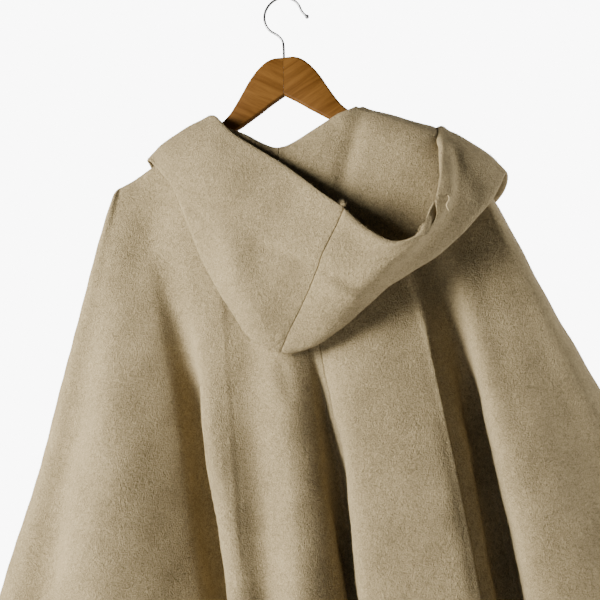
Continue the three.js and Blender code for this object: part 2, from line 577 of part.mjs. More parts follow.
function buildHood(panels) {
  const left = halfNeckline(panels.backLeft, panels.frontLeft);
  const right = halfNeckline(panels.backRight, panels.frontRight);
  const centre = right.length - 1;
  const middle = { point: left[left.length - 1].point.clone(), normal: left[left.length - 1].normal };
  middle.point.x -= SEAM_GAP / 2;
  const neckline = [...right.slice(0, -1), middle, ...left.slice(0, -1).reverse()];
  const tangent = (i) => neckline[Math.min(i + 1, neckline.length - 1)].point.clone()
    .sub(neckline[Math.max(i - 1, 0)].point);
  neckline.forEach((station, i) => {
    const up = tangent(i).cross(station.normal).normalize();
    const inwards = vec(-station.point.x, -station.point.y, NECK_X);
    station.up = up.dot(inwards) < 0 ? up.negate() : up;
  });
  const rows = [
    ...HOOD_RIGHT.slice(1).reverse().map((row) => ({ ...row, at: -row.at, side: -1 })),
    ...HOOD_LEFT.map((row, i) => ({ ...row, side: i === 0 ? 0 : 1 })),
  ];
  const backCells = halfNecklineCells(BACK_LEFT);
  const frontCells = halfNecklineCells(FRONT_LEFT);
  const grid = neckline.map((station, i) => {
    const fromCentre = Math.abs(i - centre);
    const at = fromCentre <= backCells ? fromCentre / backCells : 1 + (fromCentre - backCells) / frontCells;
    const knots = hoodKnots(station, hoodSection(rows, Math.sign(i - centre) * at));
    const last = knots.length - 1;
    const ends = [beyond(knots[0], knots[1]), beyond(knots[last], knots[last - 1])];
    return throughKnots([ends[0], ...knots, ends[1]], HOOD_CELLS)
      .map((point, step) => (step > STAND_STEPS ? clearOfBody(point) : point));
  });
  const normals = gridNormals(grid);
  neckline.forEach((station, i) => {
    const along = normals[i][0].dot(station.normal) < 0 ? -1 : 1;
    normals[i][0] = station.normal.clone().multiplyScalar(along);
  });
  const across = grid[centre].map((_, i) => (
    grid[centre + 1][i].clone().sub(grid[centre - 1][i]).setLength(SEAM_GAP / 2)
  ));
  const half = (from, to, sign) => {
    const part = grid.slice(from, to);
    const seam = sign > 0 ? 0 : part.length - 1;
    part[seam] = part[seam].map((point, i) => point.clone().addScaledVector(across[i], sign));
    return wallGeometry(part, normals.slice(from, to));
  };
  addMesh('hood_left', half(centre, grid.length, 1), WOOL);
  addMesh('hood_right', half(0, centre + 1, -1), WOOL);
}

const backPanels = buildBack();
const panels = {
  backLeft: backPanels.left,
  backRight: backPanels.right,
  frontLeft: buildFront(FRONT_LEFT),
  frontRight: buildFront(FRONT_RIGHT),
};
const addPanel = (name, panel) => addMesh(name, wallGeometry(panel.grid, panel.normals), WOOL);
addPanel('back_left', panels.backLeft);
addPanel('back_right', panels.backRight);
addPanel('front_left', panels.frontLeft);
addPanel('front_right', panels.frontRight);
buildHood(panels);
addHangerArm('hanger_arm_left', 1);
addHangerArm('hanger_arm_right', -1);
addHook();

export default object;
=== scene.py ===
"""Finished pieces of a hooded cape cardigan on a wooden hanger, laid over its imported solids.

Metres, +Z up, in the frame of the solids: the origin is the inside top of the hanger's hook, the back
of the cape and its hood face +Y, the open front faces -Y, and the wearer's left is +X.
"""

import math
from collections import namedtuple

import bpy
import numpy as np
from mathutils import Matrix, Vector


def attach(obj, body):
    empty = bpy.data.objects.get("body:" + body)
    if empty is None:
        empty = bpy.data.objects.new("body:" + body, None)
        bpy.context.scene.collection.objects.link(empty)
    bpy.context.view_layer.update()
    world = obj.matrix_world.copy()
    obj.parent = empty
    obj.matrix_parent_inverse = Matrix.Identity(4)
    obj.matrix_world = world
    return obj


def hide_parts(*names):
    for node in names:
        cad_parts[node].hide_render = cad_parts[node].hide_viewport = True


bl_info = {
    "name": "Hooded cape cardigan",
    "version": (1, 0, 0),
    "blender": (4, 5, 0),
    "location": "View3D > Sidebar > Cape",
    "description": "Builds the cloth, hanger, hook, sewing and stage of a hooded cape cardigan",
    "category": "Object",
}

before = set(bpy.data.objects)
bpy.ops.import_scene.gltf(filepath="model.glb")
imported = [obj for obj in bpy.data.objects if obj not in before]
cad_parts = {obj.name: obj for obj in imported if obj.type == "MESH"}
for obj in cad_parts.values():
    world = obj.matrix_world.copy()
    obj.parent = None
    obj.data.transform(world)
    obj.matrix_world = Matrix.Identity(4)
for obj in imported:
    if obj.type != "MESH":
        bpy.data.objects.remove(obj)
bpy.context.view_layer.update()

# ---------- driving sizes, in metres ----------
WALL = 0.0025          # thickness of the wool cloth
SEAM_GAP = 0.0003      # gap between two pieces at a seam
ARM_GAP = 0.00065      # gap between the cloth and the hanger's arm
HEM_Z = -1.0           # height of the level hem

NECK_X = 0.092         # half the width of the neckline, on the shoulder seam
Neck = namedtuple("Neck", "drop out ease")
BACK_NECK = Neck(0.055, 0.022, 1.0)
FRONT_NECK = Neck(0.150, -0.034, 1.3)
NECK_ROUND = 0.15      # rounding of the neckline's point, as a share of its half width
NECK_FULL = 0.35       # how squarely the neckline turns off the shoulder
NECK_LIFT = 0.0023     # how far the neck's seam holds the cloth off the arm at the neck point
NECK_LIFT_END = 0.128  # where the cloth lies on the arm again

ARM_HALF = 0.212       # from the hanger's middle to an arm's end
ARM_THICK = 0.010
ARM_CORNER = 0.0044    # rounding of the arm's long edges
ARM_HEIGHT = 0.021
ARM_SLOPE_X = 0.078    # where the arm's straight slope starts
ARM_SLOPE_Z = -0.145
ARM_SLOPE = 0.556      # fall of the arm for each metre outwards
ARM_END_ROUND = 0.009
YOKE_TOP = -0.073

WIRE = 0.0015          # radius of the hook's wire
HOOK_RING = 0.023      # radius of the hook's arc, on the wire's centre line
HOOK_RING_Z = -0.0215
HOOK_ARC = np.radians(np.arange(-45, 166, 15))
HOOK_LIP = ((176, HOOK_RING + 0.0016), (184, HOOK_RING + 0.005))   # its end: degrees and radius
HOOK_BALL = 0.0026     # radius of the ball on its tip

OVER_ARM = 0.011       # radius in which the cloth turns over an arm of the hanger
OVER_ROWS = 4          # the rows of a line in that turn, then those of its fall to the hem
FALL_ROWS = 14
FALL_POWER = 1.5       # how much closer together the rows lie near the top of the fall
BACK_DRAPE = 0.052     # how much further out the back hangs at the hem
FRONT_DRAPE = 0.044
DRAPE_SOFT = 0.6       # how evenly the drape and the folds grow downwards: all at once at 0
FOLD_ONSET = 0.15
SIDE_TURN_TOP = 0.011  # radius in which the back turns to the front at the side
SIDE_TURN_HEM = 0.046

# Lines down a panel, from its inner edge to the side seam: where each leaves the neckline or the
# shoulder, passes half-way down and meets the hem, how far it stands out of the drape at the hem
# (ridges +, valleys -), how far down it starts, and the columns of cells to the next line.
Line = namedtuple("Line", "name top middle hem out start cells")
TURN, SEAM = "turn", "seam"
LEFT_SIDE = (
    Line("side turn", 0.209, 0.313, 0.432, TURN, 0, 2),
    Line("side seam", 0.216, 0.334, 0.470, SEAM, 0, 0),
)
RIGHT_SIDE = (
    Line("side turn", -0.210, -0.380, -0.522, TURN, 0, 2),
    Line("side seam", -0.217, -0.400, -0.558, SEAM, 0, 0),
)
BACK_LEFT = (
    Line("centre seam", 0.0, -0.072, -0.102, 0.006, 0.25, 2),
    Line("seam valley", 0.008, -0.061, -0.088, -0.056, 0.22, 2),
    Line("valley edge", 0.019, -0.049, -0.072, 0.022, 0.2, 2),
    Line("ridge", 0.038, -0.020, -0.040, 0.044, 0.12, 3),
    Line("dip", 0.062, 0.022, 0.0, 0.022, 0.2, 2),
    Line("neck turn", 0.086, 0.046, 0.016, 0.024, 0.14, 2),
    Line("neck point", 0.092, 0.056, 0.026, 0.024, 0.12, 3),
    Line("sharp edge", 0.142, 0.074, 0.037, 0.014, 0.1, 2),
    Line("deep valley", 0.186, 0.085, 0.044, -0.060, 0.05, 3),
    Line("valley side", 0.196, 0.117, 0.092, -0.014, 0.08, 3),
    Line("broad ridge", 0.201, 0.206, 0.226, 0.042, 0.08, 3),
    Line("soft dip", 0.205, 0.270, 0.352, 0.004, 0.3, 3),
    *LEFT_SIDE,
)
BACK_RIGHT = (
    Line("centre seam", 0.0, -0.072, -0.102, 0.006, 0.25, 3),
    Line("overlapping ridge", -0.026, -0.086, -0.118, 0.044, 0.15, 4),
    Line("broad ridge", -0.060, -0.136, -0.178, 0.046, 0.12, 4),
    Line("neck turn", -0.086, -0.190, -0.238, 0.038, 0.15, 2),
    Line("neck point", -0.092, -0.200, -0.250, 0.034, 0.15, 3),
    Line("valley", -0.138, -0.226, -0.286, -0.060, 0.03, 3),
    Line("ridge", -0.168, -0.252, -0.314, 0.030, 0.08, 3),
    Line("broad ridge", -0.192, -0.296, -0.408, 0.034, 0.1, 3),
    Line("soft dip", -0.203, -0.346, -0.482, 0.008, 0.3, 3),
    *RIGHT_SIDE,
)
FRONT_LEFT = (
    Line("front edge", 0.004, 0.004, 0.004, -0.004, 0.2, 3),
    Line("ridge", 0.034, 0.048, 0.062, 0.030, 0.15, 3),
    Line("valley", 0.062, 0.094, 0.122, -0.034, 0.2, 2),
    Line("neck turn", 0.086, 0.126, 0.166, 0.020, 0.18, 2),
    Line("neck point", 0.092, 0.138, 0.182, 0.034, 0.15, 3),
    Line("valley", 0.150, 0.196, 0.258, -0.034, 0.12, 3),
    Line("broad ridge", 0.192, 0.258, 0.346, 0.032, 0.1, 3),
    *LEFT_SIDE,
)
FRONT_RIGHT = (
    Line("front edge", -0.004, -0.004, -0.004, -0.004, 0.2, 3),
    Line("ridge", -0.034, -0.052, -0.070, 0.026, 0.15, 3),
    Line("valley", -0.062, -0.106, -0.138, -0.032, 0.2, 2),
    Line("neck turn", -0.086, -0.148, -0.196, 0.020, 0.18, 2),
    Line("neck point", -0.092, -0.160, -0.212, 0.032, 0.15, 3),
    Line("valley", -0.146, -0.226, -0.300, -0.036, 0.12, 3),
    Line("broad ridge", -0.192, -0.304, -0.420, 0.032, 0.1, 3),
    *RIGHT_SIDE,
)

# Sections of the folded hood, from the centre seam over the shoulder to the front end of the neck:
# where each stands on the half neckline (0 centre back, 1 neck point, 2 front edge), its fold and its
# edge, how far the middles of its inner and outer layers stand out, the way that the layers face
# (0 back, 90 up, 180 front), half the thickness of the fold, and the height of its roll.
Section = namedtuple("Section", "at fold edge inner outer turn round rise")
HOOD_LEFT = (
    Section(0, (-0.005, 0.064, -0.428), (-0.087, 0.088, -0.278), 0, 0.010, 0, 0.006, 0.013),
    Section(0.17, (0.025, 0.060, -0.413), (-0.059, 0.077, -0.256), 0, 0.009, 0, 0.006, 0.013),
    Section(0.33, (0.056, 0.054, -0.376), (-0.032, 0.064, -0.233), 0, 0.008, 4, 0.005, 0.013),
    Section(0.48, (0.087, 0.046, -0.328), (-0.006, 0.053, -0.212), 0.002, 0.007, 8, 0.005, 0.012),
    Section(0.63, (0.109, 0.041, -0.273), (0.024, 0.047, -0.191), 0.0045, 0.007, 16, 0.005, 0.010),
    Section(0.75, (0.130, 0.034, -0.226), (0.055, 0.036, -0.168), 0.006, 0.005, 36, 0.005, 0.007),
    Section(0.85, (0.150, 0.025, -0.203), (0.072, 0.027, -0.150), 0.0065, 0.0035, 56, 0.0045, 0.0065),
    Section(0.92, (0.165, 0.012, -0.190), (0.082, 0.014, -0.140), 0.005, 0.003, 76, 0.004, 0.006),
    Section(1, (0.176, 0.001, -0.184), (0.090, 0.003, -0.1355), 0.004, 0.0025, 90, 0.004, 0.006),
    Section(1.08, (0.177, -0.011, -0.187), (0.092, -0.012, -0.138), 0.005, 0.0025, 104, 0.004, 0.006),
    Section(1.16, (0.175, -0.023, -0.199), (0.094, -0.026, -0.151), 0.006, 0.0035, 126, 0.0045, 0.007),
    Section(1.3, (0.165, -0.036, -0.224), (0.092, -0.042, -0.174), 0.006, 0.007, 150, 0.0045, 0.009),
    Section(1.5, (0.143, -0.046, -0.264), (0.080, -0.054, -0.214), 0.004, 0.006, 170, 0.0045, 0.011),
    Section(1.75, (0.104, -0.054, -0.306), (0.058, -0.064, -0.262), 0.002, 0.005, 180, 0.0045, 0.013),
    Section(2, (0.052, -0.056, -0.328), (0.028, -0.066, -0.298), 0, 0.002, 180, 0.004, 0.013),
)
HOOD_RIGHT = (
    Section(0, (-0.005, 0.064, -0.428), (-0.087, 0.088, -0.278), 0, 0.010, 0, 0.006, 0.013),
    Section(0.17, (-0.040, 0.068, -0.424), (-0.117, 0.098, -0.306), 0, 0.010, 0, 0.007, 0.013),
    Section(0.33, (-0.078, 0.070, -0.402), (-0.146, 0.103, -0.321), 0, 0.009, 0, 0.008, 0.013),
    Section(0.48, (-0.127, 0.068, -0.363), (-0.177, 0.099, -0.307), 0.001, 0.008, 6, 0.008, 0.013),
    Section(0.63, (-0.184, 0.060, -0.326), (-0.189, 0.082, -0.270), 0.006, 0.008, 20, 0.008, 0.013),
    Section(0.75, (-0.228, 0.050, -0.288), (-0.188, 0.060, -0.222), 0.014, 0.008, 40, 0.008, 0.012),
    Section(0.85, (-0.246, 0.034, -0.262), (-0.186, 0.040, -0.194), 0.018, 0.007, 56, 0.007, 0.011),
    Section(0.92, (-0.253, 0.018, -0.245), (-0.184, 0.021, -0.179), 0.015, 0.005, 74, 0.006, 0.011),
    Section(1, (-0.256, 0.002, -0.236), (-0.181, 0.004, -0.173), 0.013, 0.003, 90, 0.006, 0.010),
    Section(1.08, (-0.255, -0.014, -0.237), (-0.178, -0.015, -0.173), 0.013, 0.004, 104, 0.006, 0.010),
    Section(1.16, (-0.250, -0.029, -0.244), (-0.172, -0.031, -0.180), 0.016, 0.006, 124, 0.006, 0.012),
    Section(1.3, (-0.230, -0.046, -0.262), (-0.154, -0.048, -0.200), 0.014, 0.007, 150, 0.006, 0.013),
    Section(1.5, (-0.182, -0.054, -0.288), (-0.116, -0.062, -0.232), 0.007, 0.006, 170, 0.005, 0.013),
    Section(1.75, (-0.118, -0.058, -0.316), (-0.070, -0.068, -0.270), 0.002, 0.005, 180, 0.0045, 0.013),
    Section(2, (-0.052, -0.056, -0.328), (-0.028, -0.066, -0.298), 0, 0.002, 180, 0.004, 0.013),
)
STAND_FOOT, STAND_LEAN, STAND_UPPER = 0.2, 0.35, 0.8   # knots of the stand, as shares of its rise
STAND_CLEAR = 0.040    # nearer the middle than this the stand goes up instead of inwards
ROLL_OUT, ROLL_DOWN = 0.6, 0.3
HOOD_CELLS = (1, 2, 2, 3, 3, 2, 2, 3, 3)   # cells of a section between its knots
FOLD_SIDE = 3          # how far the fold's sides reach up the layers, in halves of its thickness
STAND_STEPS = 4        # cells of the stand, which may come nearer the body than the rest
HOOD_CLEAR = WALL + 0.0036   # from the middle of the body's cloth to that of the hood's
CLEAR_ROUND = 0.003    # rounding where the hood starts to lie on the body
HOOD_ROUNDS = 6        # rounds that even out the hood's surface

# ---------- curves and surfaces ----------


def parabola(share, top, middle, hem):
    """The quadratic in share that is top at 0, middle at 1/2 and hem at 1."""
    start = top * (1 - share) * (1 - 2 * share)
    return start + middle * 4 * share * (1 - share) + hem * share * (2 * share - 1)


def soft_step(value, low, high):
    """3t^2 - 2t^3, where t runs from 0 at low to 1 at high."""
    t = np.clip((value - low) / (high - low), 0, 1)
    return t * t * (3 - 2 * t)


def unit(vectors):
    """The vectors divided by their lengths."""
    return vectors / np.maximum(np.linalg.norm(vectors, axis=-1, keepdims=True), 1e-12)


def curve_between(before, first, second, after, shares):
    """The cubic from first to second whose end slopes weigh the neighbouring chords by the square
    root of their lengths, at shares 0 to 1. The shares come first in the result's shape."""
    root = lambda a, b: np.maximum(np.linalg.norm(b - a, axis=-1, keepdims=True), 1e-9) ** 0.5
    d0, d1, d2 = root(before, first), root(first, second), root(second, after)
    leave = ((first - before) / d0 - (second - before) / (d0 + d1) + (second - first) / d1) * d1
    arrive = ((second - first) / d1 - (after - first) / (d1 + d2) + (after - second) / d2) * d1
    s = np.asarray(shares, float).reshape((-1,) + (1,) * first.ndim)
    square = 3 * (second - first) - 2 * leave - arrive
    cube = 2 * (first - second) + leave + arrive
    return first + leave * s + square * s ** 2 + cube * s ** 3


def through_knots(knots, cells):
    """A smooth curve from the second knot to the last but one, with cells[i] steps after knot i + 1."""
    parts = [knots[1][None]]
    for i, count in enumerate(cells):
        shares = np.arange(1, count + 1) / count
        parts.append(curve_between(knots[i], knots[i + 1], knots[i + 2], knots[i + 3], shares))
    return np.concatenate(parts)


def curve_at(knots, places):
    """Points of the open smooth curve through the knots at places counted in knots from the first."""
    knots = np.asarray(knots, float)
    ghosts = (2 * knots[:1] - knots[1:2], knots, 2 * knots[-1:] - knots[-2:-1])
    padded = np.concatenate(ghosts)
    cell = np.clip(np.floor(places).astype(int), 0, len(knots) - 2)
    out = np.empty((len(places), 3))
    for i in np.unique(cell):
        here = cell == i
        out[here] = curve_between(*padded[i:i + 4], places[here] - i)
    return out


def fine_curve(knots, steps):
    """The smooth curve through the knots, with a number of steps from each knot to the next."""
    last = len(knots) - 1
    return curve_at(knots, np.linspace(0, last, last * steps + 1))


def grid_normals(grid):
    """The cross product of the central differences along and across a grid, made a unit vector."""
    across = np.gradient(grid, axis=1)
    down = np.gradient(grid, axis=0)
    return unit(np.cross(across, down))


def run_along(grid, axis):
    """The distance along the surface from a grid's first line, along the given axis."""
    steps = np.linalg.norm(np.diff(grid, axis=axis), axis=-1)
    first = np.zeros_like(np.take(steps, [0], axis=axis))
    return np.concatenate([first, np.cumsum(steps, axis=axis)], axis=axis)


# ---------- the body of the cape ----------


def arm_top(x):
    """The straight slope of the hanger's upper edge."""
    return ARM_SLOPE_Z - (np.abs(x) - ARM_SLOPE_X) * ARM_SLOPE


def shoulder_z(x):
    """The arm's slope, lifted by the gap, half the wall across the slope and the neck seam's lift."""
    held = soft_step(NECK_LIFT_END - np.abs(x), 0, NECK_LIFT_END - NECK_X)
    return arm_top(x) + ARM_GAP + (WALL / 2) * math.hypot(1, ARM_SLOPE) + NECK_LIFT * held


def top_point(x, back):
    """Where a line starts: on the shoulder, or on the neckline, which is a hyperbola in x."""
    x = np.asarray(x, float)
    share = np.minimum(np.abs(x) / NECK_X, 1)
    whole = math.hypot(1, NECK_ROUND) - NECK_ROUND
    dip = np.maximum(1 - (np.hypot(share, NECK_ROUND) - NECK_ROUND) / whole, 0)
    neck = BACK_NECK if back else FRONT_NECK
    on_arm = np.abs(x) >= NECK_X
    y = np.where(on_arm, 0, neck.out * dip ** NECK_FULL)
    z = np.where(on_arm, shoulder_z(x), shoulder_z(NECK_X) - neck.drop * dip ** neck.ease)
    return np.stack([x, y, z], -1)


def drape_at(share, back):
    """How far out the cloth hangs without its folds: a hyperbola that levels off towards the hem."""
    drape = BACK_DRAPE if back else FRONT_DRAPE
    return OVER_ARM + drape * share * (1 + DRAPE_SOFT) / (share + DRAPE_SOFT)


def line_points(line, rows, back):
    """A panel's line at each row: a quarter turn over the arm, then a fall whose drape and fold grow
    as hyperbolas of the share of the fall, while x follows the line's parabola."""
    top = top_point(line.top, back)
    length = top[2] - HEM_Z
    turn = np.clip(rows / OVER_ROWS, 0, 1) * (math.pi / 2)
    fall = np.clip((rows - OVER_ROWS) / FALL_ROWS, 0, 1) ** FALL_POWER
    below_arm = OVER_ARM + (length - OVER_ARM) * fall
    drop = np.where(rows <= OVER_ROWS, OVER_ARM * (1 - np.cos(turn)), below_arm)
    share = drop / length
    x = parabola(share, line.top, line.middle, line.hem)
    z = top[2] - drop
    facing = 1 if back else -1
    over = np.sin(turn)
    if line.out == SEAM:
        return np.stack([x, np.zeros_like(x), z], -1)
    if line.out == TURN:
        reach = SIDE_TURN_TOP + (SIDE_TURN_HEM - SIDE_TURN_TOP) * np.sqrt(share)
        return np.stack([x, facing * over * reach, z], -1)
    below = np.maximum(0, (share - line.start) / (1 - line.start)) ** 2
    fold = line.out * below * (1 + FOLD_ONSET) / (below + FOLD_ONSET)
    out = facing * (drape_at(share, back) + fold)
    if abs(line.top) >= NECK_X:
        return np.stack([x, over * out, z], -1)
    return np.stack([x, out + (top[1] - facing * OVER_ARM) * (1 - share) ** 3, z], -1)


def cells_of(lines, finer):
    return [line.cells * finer for line in lines[:-1]]


def mirrored_in_seam(knots):
    """The knot beyond the side seam, which turns the cloth square into the seam's plane."""
    return knots * np.array([1, -1, 1])


def back_surface(rows, finer):
    """The whole back, rows by columns, from the right side seam over the centre seam to the left."""
    lines = [*reversed(BACK_RIGHT[1:]), *BACK_LEFT]
    cells = [*reversed(cells_of(BACK_RIGHT, finer)), *cells_of(BACK_LEFT, finer)]
    knots = np.stack([line_points(line, rows, True) for line in lines])
    knots = np.concatenate([mirrored_in_seam(knots[1:2]), knots, mirrored_in_seam(knots[-2:-1])])
    return through_knots(knots, cells).swapaxes(0, 1)


def front_surface(lines, rows, finer):
    """One front, rows by columns, from its free edge to the side seam."""
    knots = np.stack([line_points(line, rows, False) for line in lines])
    knots = np.concatenate([2 * knots[:1] - knots[1:2], knots, mirrored_in_seam(knots[-2:-1])])
    return through_knots(knots, cells_of(lines, finer)).swapaxes(0, 1)


# ---------- the hood ----------


def soft_max(a, b):
    """The larger of a and b, with the corner between them rounded as a hyperbola."""
    return (a + b + np.sqrt((a - b) ** 2 + CLEAR_ROUND ** 2)) / 2


def clear_of_body(points):
    """The points, moved off the body where they come too close: up over an arm, and out elsewhere."""
    x, y, z = np.moveaxis(points, -1, 0)
    back = y > 0
    top = np.where(back[..., None], top_point(x, True), top_point(x, False))
    top_y, top_z = top[..., 1], top[..., 2]
    radius = OVER_ARM + HOOD_CLEAR
    over_arm = np.abs(x) >= NECK_X
    bow = radius - np.sqrt(np.maximum(radius ** 2 - y ** 2, 0))
    lifted = soft_max(z, top_z + HOOD_CLEAR - bow)
    drop = top_z + HOOD_CLEAR - z
    share = np.clip(drop / (top_z - HEM_Z), 0, 1)
    turn = np.sqrt(1 - (1 - np.clip(drop / radius, 0, 1)) ** 2)
    from_neck = np.where(over_arm, 0, (np.abs(top_y) - OVER_ARM) * (1 - share) ** 3)
    drape = np.where(back, drape_at(share, True), drape_at(share, False))
    pushed = soft_max(np.abs(y), turn * (drape + from_neck + HOOD_CLEAR))
    outwards = np.where(over_arm, soft_step(np.abs(y), 0.6 * radius, 0.9 * radius), 1) * (drop > 0)
    new_y = np.where(back, 1, -1) * (np.abs(y) + (pushed - np.abs(y)) * outwards)
    new_z = z + (lifted - z) * (1 - outwards) * over_arm
    return np.stack([x, new_y, new_z], -1)


def half_neckline(back_top, front_top, back_normals, front_normals, finer, back_lines, front_lines):
    """Points and normals of the neckline from the centre back over the neck point to the front edge."""
    behind = sum(line.cells for line in back_lines if abs(line.top) < NECK_X) * finer
    before = sum(line.cells for line in front_lines if abs(line.top) < NECK_X) * finer
    points = np.concatenate([back_top[:behind + 1], front_top[:before][::-1]])
    normals = np.concatenate([back_normals[:behind + 1], front_normals[:before][::-1]])
    at = np.concatenate([np.arange(behind + 1) / behind, 1 + np.arange(1, before + 1) / before])
    return points, normals, at


def relaxed(grid, rounds):
    """The grid after rounds of moving each inner point half-way to the mean of its four neighbours."""
    grid = grid.copy()
    for _ in range(rounds):
        mean = (grid[:-2, 1:-1] + grid[2:, 1:-1] + grid[1:-1, :-2] + grid[1:-1, 2:]) / 4
        grid[1:-1, 1:-1] += (mean - grid[1:-1, 1:-1]) / 2
    return grid


def hood_surface(points, normals, at, finer):
    """The whole hood, stations by steps: each station's section runs from the neckline up the stand,
    over the roll, down the inner layer, round the fold and up the outer layer to the edge."""
    tangent = np.gradient(points, axis=0)
    up = unit(np.cross(tangent, normals))
    inwards = np.stack([-points[:, 0], -points[:, 1], np.full(len(points), NECK_X)], -1)
    up *= np.sign(np.sum(up * inwards, -1, keepdims=True))
    rows = [row._replace(at=-row.at) for row in reversed(HOOD_RIGHT[1:])] + list(HOOD_LEFT)
    row_at = np.array([row.at for row in rows])
    side_of_row = np.sign(row_at)
    place = np.interp(at, row_at, np.arange(len(rows)))
    value = {key: np.interp(at, row_at, [getattr(row, key) for row in rows])[:, None]
             for key in ("inner", "outer", "turn", "round", "rise")}
    fold = curve_at([row.fold for row in rows], place)
    edge = curve_at([row.edge for row in rows], place)
    side = np.interp(at, row_at, side_of_row)
    angle = np.radians(value["turn"][:, 0])
    tilt = math.atan(ARM_SLOPE)
    facing = unit(np.stack([side * np.sin(angle) * math.sin(tilt), np.cos(angle),
                            np.sin(angle) * math.cos(tilt)], -1))
    outwards = np.stack([side * np.sin(angle), np.cos(angle), np.zeros_like(angle)], -1)
    rise, thick = value["rise"], value["round"]
    rising = np.array([0, 0, 1.0])
    seam = points + up * SEAM_GAP
    narrowed = np.minimum(1, np.abs(points[:, :1]) / STAND_CLEAR)
    upright = unit(up * np.concatenate([narrowed, np.ones((len(points), 2))], 1))
    stand = seam + upright * STAND_FOOT * rise
    roll = stand + outwards * STAND_LEAN * rise + rising * STAND_UPPER * rise
    over = roll + outwards * ROLL_OUT * rise - rising * ROLL_DOWN * rise
    fold_in = fold + unit(over - fold) * thick * FOLD_SIDE - facing * thick
    fold_out = fold + unit(edge - fold) * thick * FOLD_SIDE + facing * thick
    inner = (over + fold_in) / 2 + facing * value["inner"]
    outer = (fold_out + edge) / 2 + facing * value["outer"]
    knots = np.stack([2 * seam - stand, seam, stand, roll, over, inner, fold_in, fold, fold_out, outer,
                      edge, 2 * edge - outer])
    grid = through_knots(knots, [count * finer for count in HOOD_CELLS]).swapaxes(0, 1)
    free = STAND_STEPS * finer + 1
    grid[:, free:] = clear_of_body(grid[:, free:])
    return relaxed(grid, HOOD_ROUNDS)


# ---------- creases, thickness and edges ----------

EDGE_LINES = np.array([0.0002, 0.0007, 0.0016])   # extra grid lines this far from an edge
RIPPLES = (  # wavelength, depth and phase of the soft unevenness of thick cloth
    (0.210, 0.0011, 0.3), (0.140, 0.0008, 1.9), (0.095, 0.0006, 4.1), (0.066, 0.0004, 2.6),
    (0.047, 0.00028, 5.2), (0.034, 0.0002, 0.9),
)
GOLDEN = math.pi * (3 - math.sqrt(5))
# A soft line along a path, with the reach and the height of its bell curve: ridges +, troughs -. Its
# side says where it counts: 1 where the cloth faces the back, -1 where it faces the front, 0 on both.
Crease = namedtuple("Crease", "name path width depth side", defaults=(0,))
PATH_STEPS = 40        # steps along a crease's path
CREASE_FADE = 0.8      # power of the half sine that fades it at both ends
SIDE_FROM, SIDE_FULL = -0.1, 0.3   # how far the cloth faces its side where it starts and is whole


def rippled(points):
    """The sum of sine waves whose directions are spread over the sphere by the golden angle."""
    total = np.zeros(points.shape[:-1])
    for i, (length, depth, phase) in enumerate(RIPPLES):
        height = 1 - 2 * (i + 0.5) / len(RIPPLES)
        flat = math.sqrt(1 - height ** 2)
        way = np.array([flat * math.cos(i * GOLDEN), flat * math.sin(i * GOLDEN), height])
        total += depth * np.sin(points @ way * (2 * math.pi / length) + phase)
    return total


def creased(points, normals, creases):
    """The sum of bell curves of the distance to each crease's path, fading at both ends of it, and
    where the cloth doesn't face the crease's side."""
    total = np.zeros(points.shape[:-1])
    for crease in creases:
        path = curve_at(crease.path, np.linspace(0, len(crease.path) - 1, PATH_STEPS + 1))
        square = ((points[..., None, :] - path) ** 2).sum(-1)
        along = square.argmin(-1) / PATH_STEPS
        fade = np.sin(np.pi * np.clip(along, 0.001, 0.999)) ** CREASE_FADE
        facing = soft_step(normals[..., 1] * crease.side, SIDE_FROM, SIDE_FULL) if crease.side else 1
        total += crease.depth * facing * fade * np.exp(-square.min(-1) / crease.width ** 2)
    return total


def with_edge_lines(grid, axis, last):
    """The grid with extra lines close to its first or last line along an axis, on its first cell."""
    grid = np.flip(grid, axis) if last else grid
    first, second = np.take(grid, [0], axis), np.take(grid, [1], axis)
    length = np.linalg.norm(second - first, axis=-1, keepdims=True)
    extra = [first + (second - first) * np.minimum(d / length, 0.9) for d in EDGE_LINES]
    rest = np.take(grid, range(1, grid.shape[axis]), axis)
    grid = np.concatenate([first, *extra, rest], axis)
    return np.flip(grid, axis) if last else grid


def edge_distance(grid, axis, last):
    """The distance along the surface to the first or last line along an axis."""
    run = run_along(grid, axis)
    return np.take(run, [-1], axis) - run if last else run


def edge_round(grid, radius):
    """A quarter circle of the distance to the nearest edge: 0.25 at an edge and 1 beyond the radius."""
    nearest = np.minimum.reduce([edge_distance(grid, axis, last) for axis in (0, 1) for last in (0, 1)])
    share = np.clip(nearest / radius, 0, 1)
    return 0.25 + 0.75 * np.sqrt(1 - (1 - share) ** 2)


# ---------- meshes ----------


def linked_object(name, data):
    """An object of the given data in the scene."""
    obj = bpy.data.objects.new(name, data)
    bpy.context.scene.collection.objects.link(obj)
    return obj


